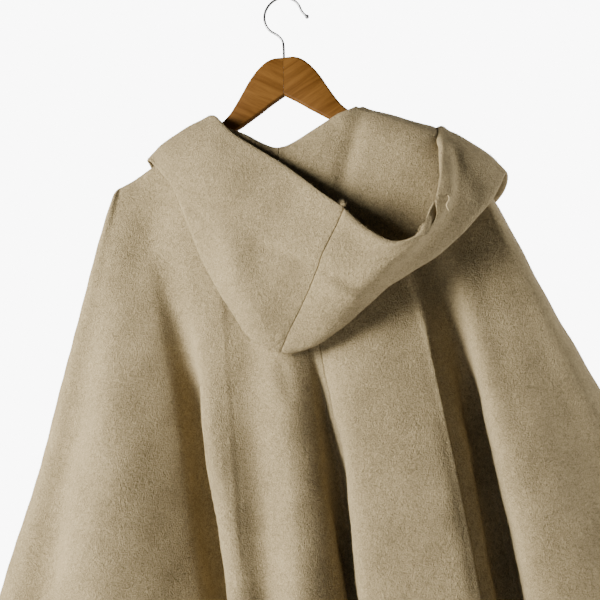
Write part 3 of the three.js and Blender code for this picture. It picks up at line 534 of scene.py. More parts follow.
def new_object(name, points, faces, uv=None):
    """A smooth mesh object of points and faces of equal length; its volume is made positive."""
    faces = np.asarray(faces)
    corners = points[faces]
    centre = points.mean(0)
    fan = [np.cross(corners[:, i] - centre, corners[:, i + 1] - centre)
           for i in range(1, faces.shape[1] - 1)]
    if sum(np.sum((corners[:, 0] - centre) * part) for part in fan) < 0:
        faces = faces[:, ::-1]
    mesh = bpy.data.meshes.new(name)
    count, size = faces.shape
    mesh.vertices.add(len(points))
    mesh.vertices.foreach_set("co", np.ascontiguousarray(points, dtype=np.float32).ravel())
    mesh.loops.add(count * size)
    mesh.loops.foreach_set("vertex_index", np.ascontiguousarray(faces, dtype=np.int32).ravel())
    mesh.polygons.add(count)
    mesh.polygons.foreach_set("loop_start", np.arange(0, count * size, size, dtype=np.int32))
    mesh.polygons.foreach_set("use_smooth", np.ones(count, bool))
    mesh.update(calc_edges=True)
    if uv is not None:
        layer = mesh.uv_layers.new(name="cloth")
        layer.data.foreach_set("uv", np.ascontiguousarray(uv[faces.ravel()], dtype=np.float32).ravel())
    mesh.validate()
    obj = linked_object(name, mesh)
    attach(obj, "root")
    return obj


def quads_of(rows, columns, start=0):
    """Every cell of a rows by columns grid as four point numbers."""
    a = start + np.arange(rows - 1)[:, None] * columns + np.arange(columns - 1)[None]
    return np.stack([a, a + 1, a + columns + 1, a + columns], -1).reshape(-1, 4)


def wall_faces(rows, columns):
    """The faces of a closed wall whose second skin's points follow the first's."""
    skin = rows * columns
    outer = quads_of(rows, columns)
    inner = quads_of(rows, columns, skin)[:, ::-1]
    number = np.arange(skin).reshape(rows, columns)
    loop = np.concatenate([number[0, :-1], number[:-1, -1], number[-1, :0:-1], number[:0:-1, 0]])
    ahead = np.roll(loop, -1)
    rim = np.stack([ahead, loop, loop + skin, ahead + skin], -1)
    return np.concatenate([outer, inner, rim])


def cloth_object(name, middle, normals, outer, inner):
    """A closed cloth wall: a skin at middle + normal * outer, and one at middle - normal * inner."""
    rows, columns = middle.shape[:2]
    skins = [middle + normals * outer[..., None], middle - normals * inner[..., None]]
    points = np.concatenate([skin.reshape(-1, 3) for skin in skins])
    across = run_along(middle, 1).ravel()
    down = run_along(middle, 0).ravel()
    uv = np.tile(np.stack([across, -down], -1), (2, 1))
    return new_object(name, points, wall_faces(rows, columns), uv=uv)


EDGE_SHARP = math.radians(40)   # edges with a larger turn are shaded as sharp


def lofted_object(name, loops, sharp):
    """A closed solid through loops of equal length, with a fan over its first and its last loop."""
    count, around = loops.shape[:2]
    ring = np.arange(around)
    a = np.arange(count - 1)[:, None] * around + ring
    b = np.arange(count - 1)[:, None] * around + np.roll(ring, -1)
    sides = np.concatenate([np.stack([a, b, b + around], -1), np.stack([a, b + around, a + around], -1)])
    fan = np.stack([np.zeros(around - 2, int), ring[2:], ring[1:-1]], -1)
    far = (count - 1) * around + fan[:, ::-1]
    obj = new_object(name, loops.reshape(-1, 3), np.concatenate([sides.reshape(-1, 3), fan, far]))
    obj.data.set_sharp_from_angle(angle=sharp)
    return obj


def ringed_object(name, path, along, across, radius, sides, sharp):
    """A closed solid of rings round a path: each stands square to the path's way along, and starts on
    its way across."""
    beside = unit(np.cross(along, across))
    angle = np.linspace(0, 2 * math.pi, sides, endpoint=False)[None, :, None]
    ring = across[:, None] * np.cos(angle) + beside[:, None] * np.sin(angle)
    return lofted_object(name, path[:, None] + ring * radius[:, None, None], sharp)


# ---------- panels ----------

COLUMNS_FINER = 5      # columns of the fine cloth in each cell of the lines' tables
TURN_ROWS = 14         # rows of the fine cloth round the arm, and below it
FALL_FINE_ROWS = 124
FINE_POWER = 1.1       # how much closer together those rows lie near the top
STEPS_FINER = 5        # steps of the hood's sections in each of their cells
SEAM_DIP = 0.0008      # how far a seam draws the cloth in
SEAM_DIP_WIDTH = 0.005
PUCKER = 0.00025       # height, length and reach of the small puckers along a seam
PUCKER_LENGTH = 0.011
PUCKER_REACH = 0.009

BACK_CREASES = (
    Crease("shoulder drag left", ((0.150, 0.02, -0.21), (0.170, 0.03, -0.29), (0.186, 0.04, -0.38)),
           0.026, -0.0060),
    Crease("side hollow left", ((0.236, 0.038, -0.40), (0.262, 0.042, -0.523), (0.286, 0.053, -0.67),
            (0.330, 0.060, -0.86), (0.370, 0.06, -1.1)), 0.026, -0.0110),
    Crease("valley floor left", ((0.114, 0.014, -0.40), (0.104, 0.018, -0.563), (0.087, 0.018, -0.676),
            (0.060, 0.02, -0.86), (0.044, 0.02, -1.1)), 0.018, -0.0120),
    Crease("swell beside the valley", ((0.084, 0.050, -0.44), (0.077, 0.055, -0.508),
            (0.068, 0.061, -0.562), (0.047, 0.072, -0.669), (0.028, 0.08, -0.84), (0.016, 0.08, -1.1)),
           0.016, 0.0080),
    Crease("dip beside the swell", ((0.046, 0.050, -0.44), (0.036, 0.054, -0.50), (0.027, 0.060, -0.572),
            (0.012, 0.070, -0.669), (-0.008, 0.08, -0.84), (-0.018, 0.08, -1.1)), 0.018, -0.0015),
    Crease("valley floor middle", ((-0.060, 0.05, -0.50), (-0.067, 0.035, -0.62), (-0.070, 0.023, -0.70),
            (-0.080, 0.02, -0.86), (-0.088, 0.02, -1.1)), 0.016, -0.0120),
    Crease("rolled corner of the ridge", ((-0.172, 0.036, -0.370), (-0.187, 0.0515, -0.460),
            (-0.204, 0.0675, -0.5665), (-0.220, 0.078, -0.668), (-0.238, 0.085, -0.82),
            (-0.262, 0.09, -1.1)), 0.015, -0.0085),
    Crease("valley floor right", ((-0.200, 0.012, -0.44), (-0.208, 0.014, -0.51), (-0.220, 0.025, -0.60),
            (-0.240, 0.03, -0.76), (-0.280, 0.02, -1.1)), 0.018, -0.0110),
    Crease("dimple under the hood", ((0.001, 0.053, -0.425), (-0.004, 0.057, -0.453),
            (-0.014, 0.060, -0.486)), 0.009, -0.0035),
    Crease("valley branch", ((0.130, 0.05, -0.52), (0.096, 0.07, -0.66), (0.100, 0.07, -0.80)),
           0.013, -0.0030),
    Crease("ridge dent", ((0.020, 0.09, -0.55), (0.004, 0.10, -0.68), (0.000, 0.10, -0.80)),
           0.014, -0.0028),
    Crease("broad fold dent", ((-0.150, 0.09, -0.46), (-0.172, 0.10, -0.62), (-0.200, 0.11, -0.84)),
           0.020, -0.0022),
    Crease("shoulder drag right", ((-0.206, 0.03, -0.27), (-0.232, 0.05, -0.38), (-0.262, 0.06, -0.54)),
           0.014, -0.0024),
    Crease("side hollow right", ((-0.330, 0.05, -0.50), (-0.380, 0.06, -0.68), (-0.440, 0.06, -0.92)),
           0.020, -0.0030),
)
FRONT_CREASES = (
    Crease("chest drag left", ((0.110, -0.05, -0.28), (0.104, -0.07, -0.40), (0.086, -0.08, -0.56)),
           0.014, -0.0026),
    Crease("chest drag right", ((-0.120, -0.05, -0.30), (-0.116, -0.07, -0.42), (-0.100, -0.08, -0.60)),
           0.014, -0.0026),
    Crease("side hollow left", ((0.250, -0.06, -0.50), (0.290, -0.07, -0.70), (0.330, -0.08, -0.94)),
           0.020, -0.0030),
    Crease("side hollow right", ((-0.300, -0.06, -0.48), (-0.350, -0.07, -0.68), (-0.410, -0.08, -0.94)),
           0.020, -0.0032),
)
HOOD_CREASES = (
    Crease("tip bulge", ((0.064, 0.058, -0.275), (0.048, 0.062, -0.315), (0.034, 0.066, -0.360),
            (0.004, 0.071, -0.425)), 0.024, 0.0120, 1),
    Crease("hollow on the seam", ((-0.052, 0.085, -0.325), (-0.040, 0.080, -0.362),
            (-0.022, 0.073, -0.395), (-0.004, 0.067, -0.428)), 0.028, -0.0100, 1),
    Crease("pressed crease left", ((0.026, 0.066, -0.305), (-0.008, 0.077, -0.320),
            (-0.060, 0.093, -0.346)), 0.0045, -0.0032, 1),
    Crease("pressed crease right", ((-0.056, 0.092, -0.343), (-0.085, 0.098, -0.360),
            (-0.118, 0.087, -0.370)), 0.0050, -0.0028, 1),
    Crease("fold below the crease", ((-0.060, 0.090, -0.356), (-0.088, 0.096, -0.373),
            (-0.112, 0.084, -0.380)), 0.008, 0.0030, 1),
    Crease("faint crease", ((0.115, 0.041, -0.247), (0.095, 0.048, -0.262), (0.077, 0.052, -0.279)),
           0.0045, -0.0020, 1),
    Crease("trough by the roll", ((-0.206, 0.040, -0.190), (-0.210, 0.060, -0.237),
            (-0.209, 0.072, -0.273), (-0.194, 0.076, -0.318)), 0.008, -0.0035, 1),
    Crease("rolled edge", ((-0.196, 0.040, -0.190), (-0.197, 0.064, -0.234), (-0.196, 0.080, -0.270),
            (-0.183, 0.094, -0.310), (-0.150, 0.098, -0.334)), 0.0075, 0.0055, 1),
    Crease("end of the opening", ((-0.180, -0.010, -0.173), (-0.184, 0.021, -0.179),
            (-0.186, 0.036, -0.190), (-0.188, 0.050, -0.207)), 0.014, -0.0060),
    Crease("hollow over the arm", ((-0.200, 0.048, -0.205), (-0.2185, 0.058, -0.252),
            (-0.230, 0.053, -0.285)), 0.014, -0.0050, 1),
    Crease("bend of the inner layer", ((-0.099, 0.012, -0.138), (-0.0887, 0.037, -0.186),
            (-0.0751, 0.041, -0.237), (-0.066, 0.042, -0.270)), 0.009, 0.0050, -1),
)

TURNED_WIDTH = 0.080   # width of the band turned in along the hood's opening
TURNED_THICK = 0.0022  # thickness that it adds inside
TURNED_PRESS = 0.0006  # how far its edge shows through
TURNED_STEP = 0.002    # half the width of the step at its edge
RIM_THICK = {"hood_left": 0.0010, "hood_right": 0.0042}   # what the rolled edge adds on each side
RIM_PLACE, RIM_WIDTH = 0.0050, 0.0070                     # how far in from the edge, and its reach
RIM_ROUND = 0.0060

Panel = namedtuple("Panel", "points normals")


def row_places():
    """Row positions: evenly round the arm, then almost evenly down the fall."""
    turn = np.linspace(0, OVER_ROWS, TURN_ROWS + 1)
    fall = np.linspace(0, 1, FALL_FINE_ROWS + 1)[1:] ** (FINE_POWER / FALL_POWER)
    return np.concatenate([turn, OVER_ROWS + FALL_ROWS * fall])


def flattened_on_seam(panel, facing):
    """The panel with its shoulder and side seam in the plane Y = half a gap, and normals in it."""
    points, normals = panel.points.copy(), panel.normals.copy()
    rows, columns = points.shape[:2]
    on_seam = np.zeros((rows, columns), bool)
    on_seam[:, -1] = True
    on_seam[0] |= np.abs(points[0, :, 0]) > NECK_X - SEAM_GAP
    points[on_seam, 1] = facing * SEAM_GAP / 2
    normals[on_seam] = unit(normals[on_seam] * np.array([1, 0, 1]))
    return Panel(points, normals)


def seamed_halves(grid, normals, centre, axis):
    """Two halves of a grid, cut on its centre line and moved half a gap off it along the surface."""
    grid, normals = np.moveaxis(grid, axis, 0), np.moveaxis(normals, axis, 0)
    across = unit(grid[centre + 1] - grid[centre - 1]) * SEAM_GAP / 2
    after, before = grid[centre:].copy(), grid[:centre + 1][::-1].copy()
    after[0] += across
    before[0] -= across
    halves = ((after, normals[centre:]), (before, normals[:centre + 1][::-1]))
    return [Panel(*(np.moveaxis(part, 0, axis) for part in half)) for half in halves]


def finer_rows(grid):
    """The grid with a row more between every two, on smooth curves through the rows."""
    padded = np.concatenate([2 * grid[:1] - grid[1:2], grid, 2 * grid[-1:] - grid[-2:-1]])
    return through_knots(padded, [2] * (len(grid) - 1))


def build_surfaces():
    """The six pieces of cloth as panels of points and outward normals, before their creases."""
    rows = row_places()
    back = back_surface(rows, COLUMNS_FINER)
    centre = sum(cells_of(BACK_RIGHT, COLUMNS_FINER))
    left, right = seamed_halves(back, grid_normals(back), centre, 1)
    panels = {"back_left": flattened_on_seam(left, 1), "back_right": flattened_on_seam(right, 1)}
    for name, lines in (("front_left", FRONT_LEFT), ("front_right", FRONT_RIGHT)):
        points = front_surface(lines, rows, COLUMNS_FINER)
        normals = grid_normals(points)
        normals *= -np.sign(normals[..., 1].mean())
        panels[name] = flattened_on_seam(Panel(points, normals), -1)
    halves = [
        half_neckline(panels["back_" + side].points[0], panels["front_" + side].points[0],
                      panels["back_" + side].normals[0], panels["front_" + side].normals[0],
                      COLUMNS_FINER, *lines)
        for side, lines in (("right", (BACK_RIGHT, FRONT_RIGHT)), ("left", (BACK_LEFT, FRONT_LEFT)))
    ]
    (right_points, right_normals, right_at), (left_points, left_normals, left_at) = halves
    points = np.concatenate([right_points[:0:-1], left_points])
    normals = np.concatenate([right_normals[:0:-1], left_normals])
    at = np.concatenate([-right_at[:0:-1], left_at])
    middle = len(right_points) - 1
    points[middle, 0] -= SEAM_GAP / 2
    hood = finer_rows(hood_surface(points, normals, at, STEPS_FINER))
    hood_normals = grid_normals(hood)
    normals = unit(finer_rows(normals))
    middle *= 2
    along = np.sign(np.sum(hood_normals[:, 0] * normals, -1, keepdims=True))
    hood_normals[:, 0] = normals * along
    panels["hood_left"], panels["hood_right"] = seamed_halves(hood, hood_normals, middle, 0)
    return panels


def finished_panel(panel, creases, seam_axis):
    """A panel with extra lines at its edges, its creases and ripples, and the dip of its centre seam,
    which lies on the first line along seam_axis."""
    both = np.concatenate([panel.points, panel.normals], -1)
    for axis in (0, 1):
        for last in (False, True):
            both = with_edge_lines(both, axis, last)
    points, normals = both[..., :3], unit(both[..., 3:])
    height = rippled(points) + creased(points, normals, creases)
    if seam_axis is not None:
        away = edge_distance(points, seam_axis, False)
        along = run_along(points, 1 - seam_axis)
        waves = PUCKER * np.sin(along * (2 * math.pi / PUCKER_LENGTH))
        height = height + waves * np.exp(-(away / PUCKER_REACH) ** 2)
        height = height - SEAM_DIP * np.exp(-(away / SEAM_DIP_WIDTH) ** 2)
    return Panel(points + normals * height[..., None], normals)


def half_walls(panel):
    """Half the wall's thickness, rounded off at the four edges."""
    return edge_round(panel.points, WALL / 2) * WALL / 2


# ---------- nap ----------

FIBRE_ROOT = 0.0001          # radius of a fibre at its root
FIBRE_RISE = (0.25, 0.9)     # least and most that a fibre stands up from the cloth
FIBRE_LEAN = 0.6             # how far it leans over by chance
FIBRE_REACH = (0.45, 1.25)   # shortest and longest, as shares of the mean length
TUFT_FIBRES = 70
TUFT_SPREAD = 0.0011
TUFT_LENGTH = 0.0075
TUFT_LEAN = 0.45
YARN_STEPS, YARN_SIDES = 5, 6


def nap_object(name, panel, outer, inner, per_side, length, seed):
    """Loose fibres on both skins of a panel: thin three-sided spikes whose roots are spread evenly by
    area and whose tips lean over by chance."""
    chance = np.random.default_rng(seed)
    roots, ways = [], []
    for side, lift, count in ((1, outer, per_side[0]), (-1, inner, per_side[1])):
        if not count:
            continue
        skin = panel.points + panel.normals * (side * lift)[..., None]
        a, b, c, d = skin[:-1, :-1], skin[:-1, 1:], skin[1:, 1:], skin[1:, :-1]
        area = np.linalg.norm(np.cross(c - a, d - b), axis=-1).ravel()
        cell = chance.choice(len(area), count, p=area / area.sum())
        u, v = chance.random((2, count, 1))
        corner = [corners.reshape(-1, 3)[cell] for corners in (a, b, c, d)]
        first, last = corner[0] * (1 - u) + corner[1] * u, corner[3] * (1 - u) + corner[2] * u
        roots.append(first * (1 - v) + last * v)
        normal = (side * panel.normals[:-1, :-1]).reshape(-1, 3)[cell]
        rise = normal * chance.uniform(*FIBRE_RISE, (count, 1))
        ways.append(unit(rise + chance.normal(0, FIBRE_LEAN, (count, 3))))
    return fibres_object(name, np.concatenate(roots), np.concatenate(ways), length, chance)


def tuft_object(name, root, way, seed):
    """A few long fibres that stand up from one spot of an edge."""
    chance = np.random.default_rng(seed)
    roots = np.array(root) + chance.normal(0, TUFT_SPREAD, (TUFT_FIBRES, 3))
    ways = unit(np.array(way) + chance.normal(0, TUFT_LEAN, (TUFT_FIBRES, 3)))
    return fibres_object(name, roots, ways, TUFT_LENGTH, chance)


def fibres_object(name, root, way, length, chance):
    """A thin three-sided spike at each root, about as long as length, along its way."""
    count = len(root)
    reach = length * chance.uniform(*FIBRE_REACH, (count, 1))
    across = unit(np.cross(way, chance.normal(size=(count, 3))))
    beside = np.cross(way, across)
    ring = [root + (across * math.cos(turn) + beside * math.sin(turn) - way) * FIBRE_ROOT
            for turn in np.radians([0, 120, 240])]
    points = np.stack([*ring, root + way * reach], 1)
    corners = np.array([[0, 2, 1], [0, 1, 3], [1, 2, 3], [2, 0, 3]])
    faces = (np.arange(count)[:, None, None] * 4 + corners).reshape(-1, 3)
    return new_object(name, points.reshape(-1, 3), faces)


def thread_object(name, knots, radius):
    """A loose end of yarn: rings along a smooth curve, narrower at both ends."""
    path = fine_curve(knots, YARN_STEPS)
    along = unit(np.gradient(path, axis=0))
    across = unit(np.cross(along, np.array([0.3, 0.2, 0.9])))
    thick = radius * (0.4 + 0.6 * np.sin(np.linspace(0.1, math.pi - 0.1, len(path))))
    return ringed_object(name, path, along, across, thick, YARN_SIDES, EDGE_SHARP)


# ---------- hanger ----------

ArmSection = namedtuple("ArmSection", "x top bottom")
ARM_SECTIONS = (
    ArmSection(SEAM_GAP / 2, YOKE_TOP, -0.120),
    ArmSection(0.012, YOKE_TOP, -0.127),
    ArmSection(0.020, -0.0755, -0.132),
    ArmSection(0.028, -0.081, -0.1375),
    ArmSection(0.036, -0.089, -0.1425),
    ArmSection(0.044, -0.0995, -0.1475),
    ArmSection(0.052, -0.1125, -0.1525),
    ArmSection(0.060, -0.125, -0.157),
    ArmSection(0.068, -0.136, -0.1615),
    ArmSection(0.078, arm_top(0.078), -0.167),
    ArmSection(0.092, arm_top(0.092), arm_top(0.092) - ARM_HEIGHT - 0.0006),
    *(ArmSection(x, arm_top(x), arm_top(x) - ARM_HEIGHT) for x in (0.120, 0.160, 0.203)),
)
ARM_STEPS = 5          # sections of the fine arm between two of the table
CORNER_STEPS = 7
END_TURNS = np.radians(np.linspace(8, 84, 9))   # sections of the arm's rounded end
END_THINS = 0.3        # how much of the end's rounding its thickness takes
WIRE_STEPS, WIRE_SIDES = 6, 20
WIRE_SHARP = math.radians(60)
BALL_TURNS = np.radians(np.linspace(-35, 78, 10))   # rings of the ball, up from its middle


def arm_loops(x, top, bottom, half_thick):
    """Rounded rectangles across the arm: four quarter circles each, at given heights and half widths."""
    reach = np.minimum.reduce([np.full_like(x, ARM_CORNER), half_thick * 0.75, (top - bottom) * 0.45])
    loops = []
    for side_y, side_z, start in ((1, 1, 0), (-1, 1, 90), (-1, -1, 180), (1, -1, 270)):
        angle = np.radians(start + np.linspace(0, 90, CORNER_STEPS))[None]
        y = side_y * (half_thick - reach)[:, None] + reach[:, None] * np.cos(angle)
        middle = np.where(side_z > 0, top - reach, bottom + reach)
        z = middle[:, None] + reach[:, None] * np.sin(angle)
        loops.append(np.stack([np.broadcast_to(x[:, None], y.shape), y, z], -1))
    return np.concatenate(loops, 1)


def arm_object(name, side):
    """One arm of the hanger: smooth curves through the table's edges, then a quarter-round end."""
    x, top, bottom = fine_curve(ARM_SECTIONS, ARM_STEPS).T
    inset = ARM_END_ROUND * (1 - np.cos(END_TURNS))
    end = ARM_HALF - ARM_END_ROUND + ARM_END_ROUND * np.sin(END_TURNS)
    thick = np.concatenate([np.full(len(x), ARM_THICK / 2), ARM_THICK / 2 - inset * END_THINS])
    loops = arm_loops(
        np.concatenate([x, end]),
        np.concatenate([top, arm_top(end) - inset]),
        np.concatenate([bottom, arm_top(end) - ARM_HEIGHT + inset]),
        thick,
    )
    return lofted_object(name, loops * np.array([side, 1, 1]), EDGE_SHARP)


def hook_object(name):
    """A wire: circles carried along a smooth path in the plane Y = 0, which ends in a small ball."""
    stem = [(0, 0, YOKE_TOP + SEAM_GAP), (0, 0, -0.068), (0, 0, -0.062), (0.001, 0, -0.053),
            (0.006, 0, -0.0455)]
    arc = np.stack([HOOK_RING * np.cos(HOOK_ARC), 0 * HOOK_ARC,
                    HOOK_RING_Z + HOOK_RING * np.sin(HOOK_ARC)], -1)
    lip = [(reach * math.cos(math.radians(at)), 0, HOOK_RING_Z + reach * math.sin(math.radians(at)))
           for at, reach in HOOK_LIP]
    knots = np.array([*stem, *arc.tolist(), *lip])
    path = fine_curve(knots, WIRE_STEPS)
    along = unit(np.gradient(path, axis=0))
    along[0] = (0, 0, 1)
    radius = np.full(len(path), WIRE)
    ball = path[-1] + along[-1] * (HOOK_BALL * (1 + np.sin(BALL_TURNS)))[:, None]
    centre = np.concatenate([path, ball])
    along = np.concatenate([along, np.repeat(along[-1:], len(ball), 0)])
    radius = np.concatenate([radius, HOOK_BALL * np.cos(BALL_TURNS)])
    across = np.tile((0, 1.0, 0), (len(centre), 1))
    return ringed_object(name, centre, along, across, radius, WIRE_SIDES, WIRE_SHARP)


# ---------- materials ----------


def shader_group(name, inputs, outputs):
    """An empty shader node group with the given sockets, what it is given and what it makes."""
    tree = bpy.data.node_groups.new(name, "ShaderNodeTree")
    for way, sockets in (("INPUT", inputs), ("OUTPUT", outputs)):
        for socket, kind in sockets:
            tree.interface.new_socket(name=socket, in_out=way, socket_type=kind)
    return tree, tree.nodes.new("NodeGroupInput").outputs, tree.nodes.new("NodeGroupOutput").inputs


def fill(tree, socket, value):
    """Gives a value to a socket, or joins another socket to it."""
    if isinstance(value, bpy.types.NodeSocket):
        tree.links.new(value, socket)
    else:
        socket.default_value = value


def noise_node(tree, vector, scale, detail, roughness, distortion=0.0):
    """A noise texture; scale may be a number or a socket."""
    node = tree.nodes.new("ShaderNodeTexNoise")
    tree.links.new(vector, node.inputs["Vector"])
    fill(tree, node.inputs["Scale"], scale)
    node.inputs["Detail"].default_value = detail
    node.inputs["Roughness"].default_value = roughness
    node.inputs["Distortion"].default_value = distortion
    return node.outputs["Fac"]


def math_node(tree, operation, a, b):
    """A math node; a and b may be numbers or sockets."""
    node = tree.nodes.new("ShaderNodeMath")
    node.operation = operation
    fill(tree, node.inputs[0], a)
    fill(tree, node.inputs[1], b)
    return node.outputs[0]


def ranged(tree, value, end, low, high):
    """The value, mapped so that low and high stand at the ends that it comes from or goes to."""
    node = tree.nodes.new("ShaderNodeMapRange")
    node.inputs[end + " Min"].default_value = low
    node.inputs[end + " Max"].default_value = high
    tree.links.new(value, node.inputs["Value"])
    return node.outputs["Result"]


def mapped(tree, vector, socket, value):
    """The vector, turned or scaled by a value."""
    node = tree.nodes.new("ShaderNodeMapping")
    node.inputs[socket].default_value = value
    tree.links.new(vector, node.inputs["Vector"])
    return node.outputs["Vector"]


def weighed(tree, *parts):
    """The sum of each socket times its weight."""
    total = None
    for socket, weight in parts:
        share = math_node(tree, "MULTIPLY", socket, weight)
        total = math_node(tree, "ADD", total, share) if total else share
    return total


def object_place(tree):
    """A point's place in its own object, which is its place in the scene."""
    return tree.nodes.new("ShaderNodeTexCoord").outputs["Object"]


def mixed(tree, factor, a, b):
    """The colours a and b, mixed by a factor; each may be a colour or a socket."""
    node = tree.nodes.new("ShaderNodeMix")
    node.data_type = "RGBA"
    tree.links.new(factor, node.inputs["Factor"])
    fill(tree, node.inputs["A"], a)
    fill(tree, node.inputs["B"], b)
    return node.outputs["Result"]


def felted_nap_group():
    """Curled, matted nap: two sizes of curl and broad blotches, as a colour and a height; the colour is
    darker where the curls are low, as painted shade in the nap's hollows, and the blotches are the wool's
    own uneven tone.
    """
    tree, given, made = shader_group(
        "Felted nap",
        [("Vector", "NodeSocketVector"), ("Curls per metre", "NodeSocketFloat"),
         ("Dark", "NodeSocketColor"), ("Light", "NodeSocketColor")],
        [("Color", "NodeSocketColor"), ("Height", "NodeSocketFloat")],
    )
    at, scale = given["Vector"], given["Curls per metre"]
    curls = noise_node(tree, at, scale, 4, 0.6, 1.4)
    finer = math_node(tree, "MULTIPLY", scale, 2.7)
    hairs = noise_node(tree, at, finer, 3, 0.7, 0.8)
    blotches = noise_node(tree, at, 14.0, 3, 0.55)
    # Painted shade: the curls and hairs that raise the height also lighten the colour, so the nap's
    # hollows are painted darker; the broad blotches are the wool's own uneven tone.
    tone_and_hollow_shade = weighed(tree, (curls, 0.42), (hairs, 0.43), (blotches, 0.15))
    factor = ranged(tree, tone_and_hollow_shade, "From", 0.4, 0.6)
    tree.links.new(mixed(tree, factor, given["Dark"], given["Light"]), made["Color"])
    tree.links.new(weighed(tree, (curls, 1.0), (hairs, 0.8)), made["Height"])


def wood_grain_group():
    """Straight grain: noise drawn out along X, with fine pores, as a colour and a height."""
    tree, given, made = shader_group(
        "Straight wood grain",
        [("Vector", "NodeSocketVector"), ("Dark", "NodeSocketColor"), ("Light", "NodeSocketColor")],
        [("Color", "NodeSocketColor"), ("Height", "NodeSocketFloat"), ("Roughness", "NodeSocketFloat")],
    )
    at = given["Vector"]
    bands = noise_node(tree, mapped(tree, at, "Scale", (9, 60, 95)), 1.0, 4, 0.55, 1.2)
    pores = noise_node(tree, mapped(tree, at, "Scale", (70, 900, 1400)), 1.0, 2, 0.5)
    factor = ranged(tree, weighed(tree, (bands, 0.75), (pores, 0.25)), "From", 0.34, 0.66)
    tree.links.new(mixed(tree, factor, given["Dark"], given["Light"]), made["Color"])
    tree.links.new(pores, made["Height"])
    tree.links.new(ranged(tree, bands, "To", 0.32, 0.46), made["Roughness"])


def new_material(name, finish):
    """The node tree and Principled shader of a new material, with the values in finish."""
    material = bpy.data.materials.new(name)
    material.use_nodes = True
    shader = material.node_tree.nodes["Principled BSDF"]
    for socket, value in finish.items():
        shader.inputs[socket].default_value = value
    return material.node_tree, shader


def place_group(tree, group, colours, place):
    """A group node in a material's tree, with its dark and light colours and its place."""
    node = tree.nodes.new("ShaderNodeGroup")
    node.node_tree = bpy.data.node_groups[group]
    node.inputs["Dark"].default_value = (*colours[0], 1)
    node.inputs["Light"].default_value = (*colours[1], 1)
    tree.links.new(place, node.inputs["Vector"])
    return node


def bumped(tree, shader, height, strength, distance):
    """Joins a height to a shader's normal through a bump node."""
    bump = tree.nodes.new("ShaderNodeBump")
    bump.inputs["Strength"].default_value = strength
    bump.inputs["Distance"].default_value = distance
    tree.links.new(height, bump.inputs["Height"])
    tree.links.new(bump.outputs["Normal"], shader.inputs["Normal"])


def wool_material(name, colours, strength):
    """Felted wool: a matt, sheeny surface with the nap group's colour, which holds painted shade in the
    nap's hollows, and its relief.
    """
    finish = {"Roughness": 0.95, "Sheen Weight": 0.06, "Sheen Roughness": 0.6,
              "Sheen Tint": (1.0, 0.86, 0.66, 1), "Specular IOR Level": 0.1}
    tree, shader = new_material(name, finish)
    nap = place_group(tree, "Felted nap", colours, object_place(tree))
    nap.inputs["Curls per metre"].default_value = 300.0
    tree.links.new(nap.outputs["Color"], shader.inputs["Base Color"])
    bumped(tree, shader, nap.outputs["Height"], strength, 0.002)


def wood_material(name, colours, lean):
    """Lacquered wood whose grain runs along an arm that leans by the given angle."""
    finish = {"Coat Weight": 0.04, "Coat Roughness": 0.3, "Specular IOR Level": 0.08}
    tree, shader = new_material(name, finish)
    turned = mapped(tree, object_place(tree), "Rotation", (0, lean, 0))
    grain = place_group(tree, "Straight wood grain", colours, turned)
    tree.links.new(grain.outputs["Color"], shader.inputs["Base Color"])
    tree.links.new(grain.outputs["Roughness"], shader.inputs["Roughness"])
    bumped(tree, shader, grain.outputs["Height"], 0.15, 0.0003)


def steel_material(name, colour):
    """Drawn steel wire with faint streaks in its gloss."""
    tree, shader = new_material(name, {"Base Color": (*colour, 1), "Metallic": 1.0})
    streaks = noise_node(tree, object_place(tree), 900.0, 3, 0.6)
    tree.links.new(ranged(tree, streaks, "To", 0.22, 0.42), shader.inputs["Roughness"])
    bumped(tree, shader, streaks, 0.02, 0.0002)


# ---------- what a user would change ----------


def colour_property(name, description, default):
    return bpy.props.FloatVectorProperty(name=name, description=description, default=default,
                                         subtype="COLOR", size=3, min=0, max=1)


def number_property(name, description, default, **kind):
    return bpy.props.FloatProperty(name=name, description=description, default=default, **kind)


class CapeColours(bpy.types.PropertyGroup):
    """Colours of the finishes."""
    # The dark wool colour is partly the wool's own darker tone and partly painted shade deep in the nap.
    wool_dark_and_nap_shade: colour_property("Wool, dark", "Colour deep in the nap", (0.19, 0.147, 0.075))
    wool_light: colour_property("Wool, light", "Colour of the nap's tips", (0.425, 0.333, 0.182))
    wood_dark: colour_property("Wood, dark", "Colour of the wood's late grain", (0.085, 0.034, 0.006))
    wood_light: colour_property("Wood, light", "Colour of the wood's early grain", (0.150, 0.067, 0.014))
    steel: colour_property("Steel", "Colour of the hook's wire", (0.22, 0.22, 0.22))
    floor: colour_property("Floor", "Colour of the floor", (0.8, 0.8, 0.8))


class CapeCloth(bpy.types.PropertyGroup):
    """Surface of the cloth."""
    nap_length: number_property("Nap length", "Mean length of a loose fibre", 0.0028, unit="LENGTH")
    nap_relief: number_property("Nap relief", "Strength of the matted curls", 1.0, subtype="FACTOR")


class CapeStage(bpy.types.PropertyGroup):
    """Camera, lights and floor."""
    distance: number_property("Camera distance", "From the camera to its aim", 1.5, unit="LENGTH")
    lens: number_property("Lens", "Focal length on a 36 mm sensor", 75.0, unit="CAMERA")
    key_power: number_property("Key light", "Power of the key light", 203.0, unit="POWER")
    rim_power: number_property("Rim light", "Power of the light beside the cape", 52.0, unit="POWER")
    front_power: number_property("Front light", "Power of the light before the front", 70.0, unit="POWER")
    surround: number_property("Surround", "Strength of the white surround's light", 0.04)
    floor_z: number_property("Floor height", "Height of the floor below the hook", -1.62, unit="LENGTH")


# ---------- pieces ----------

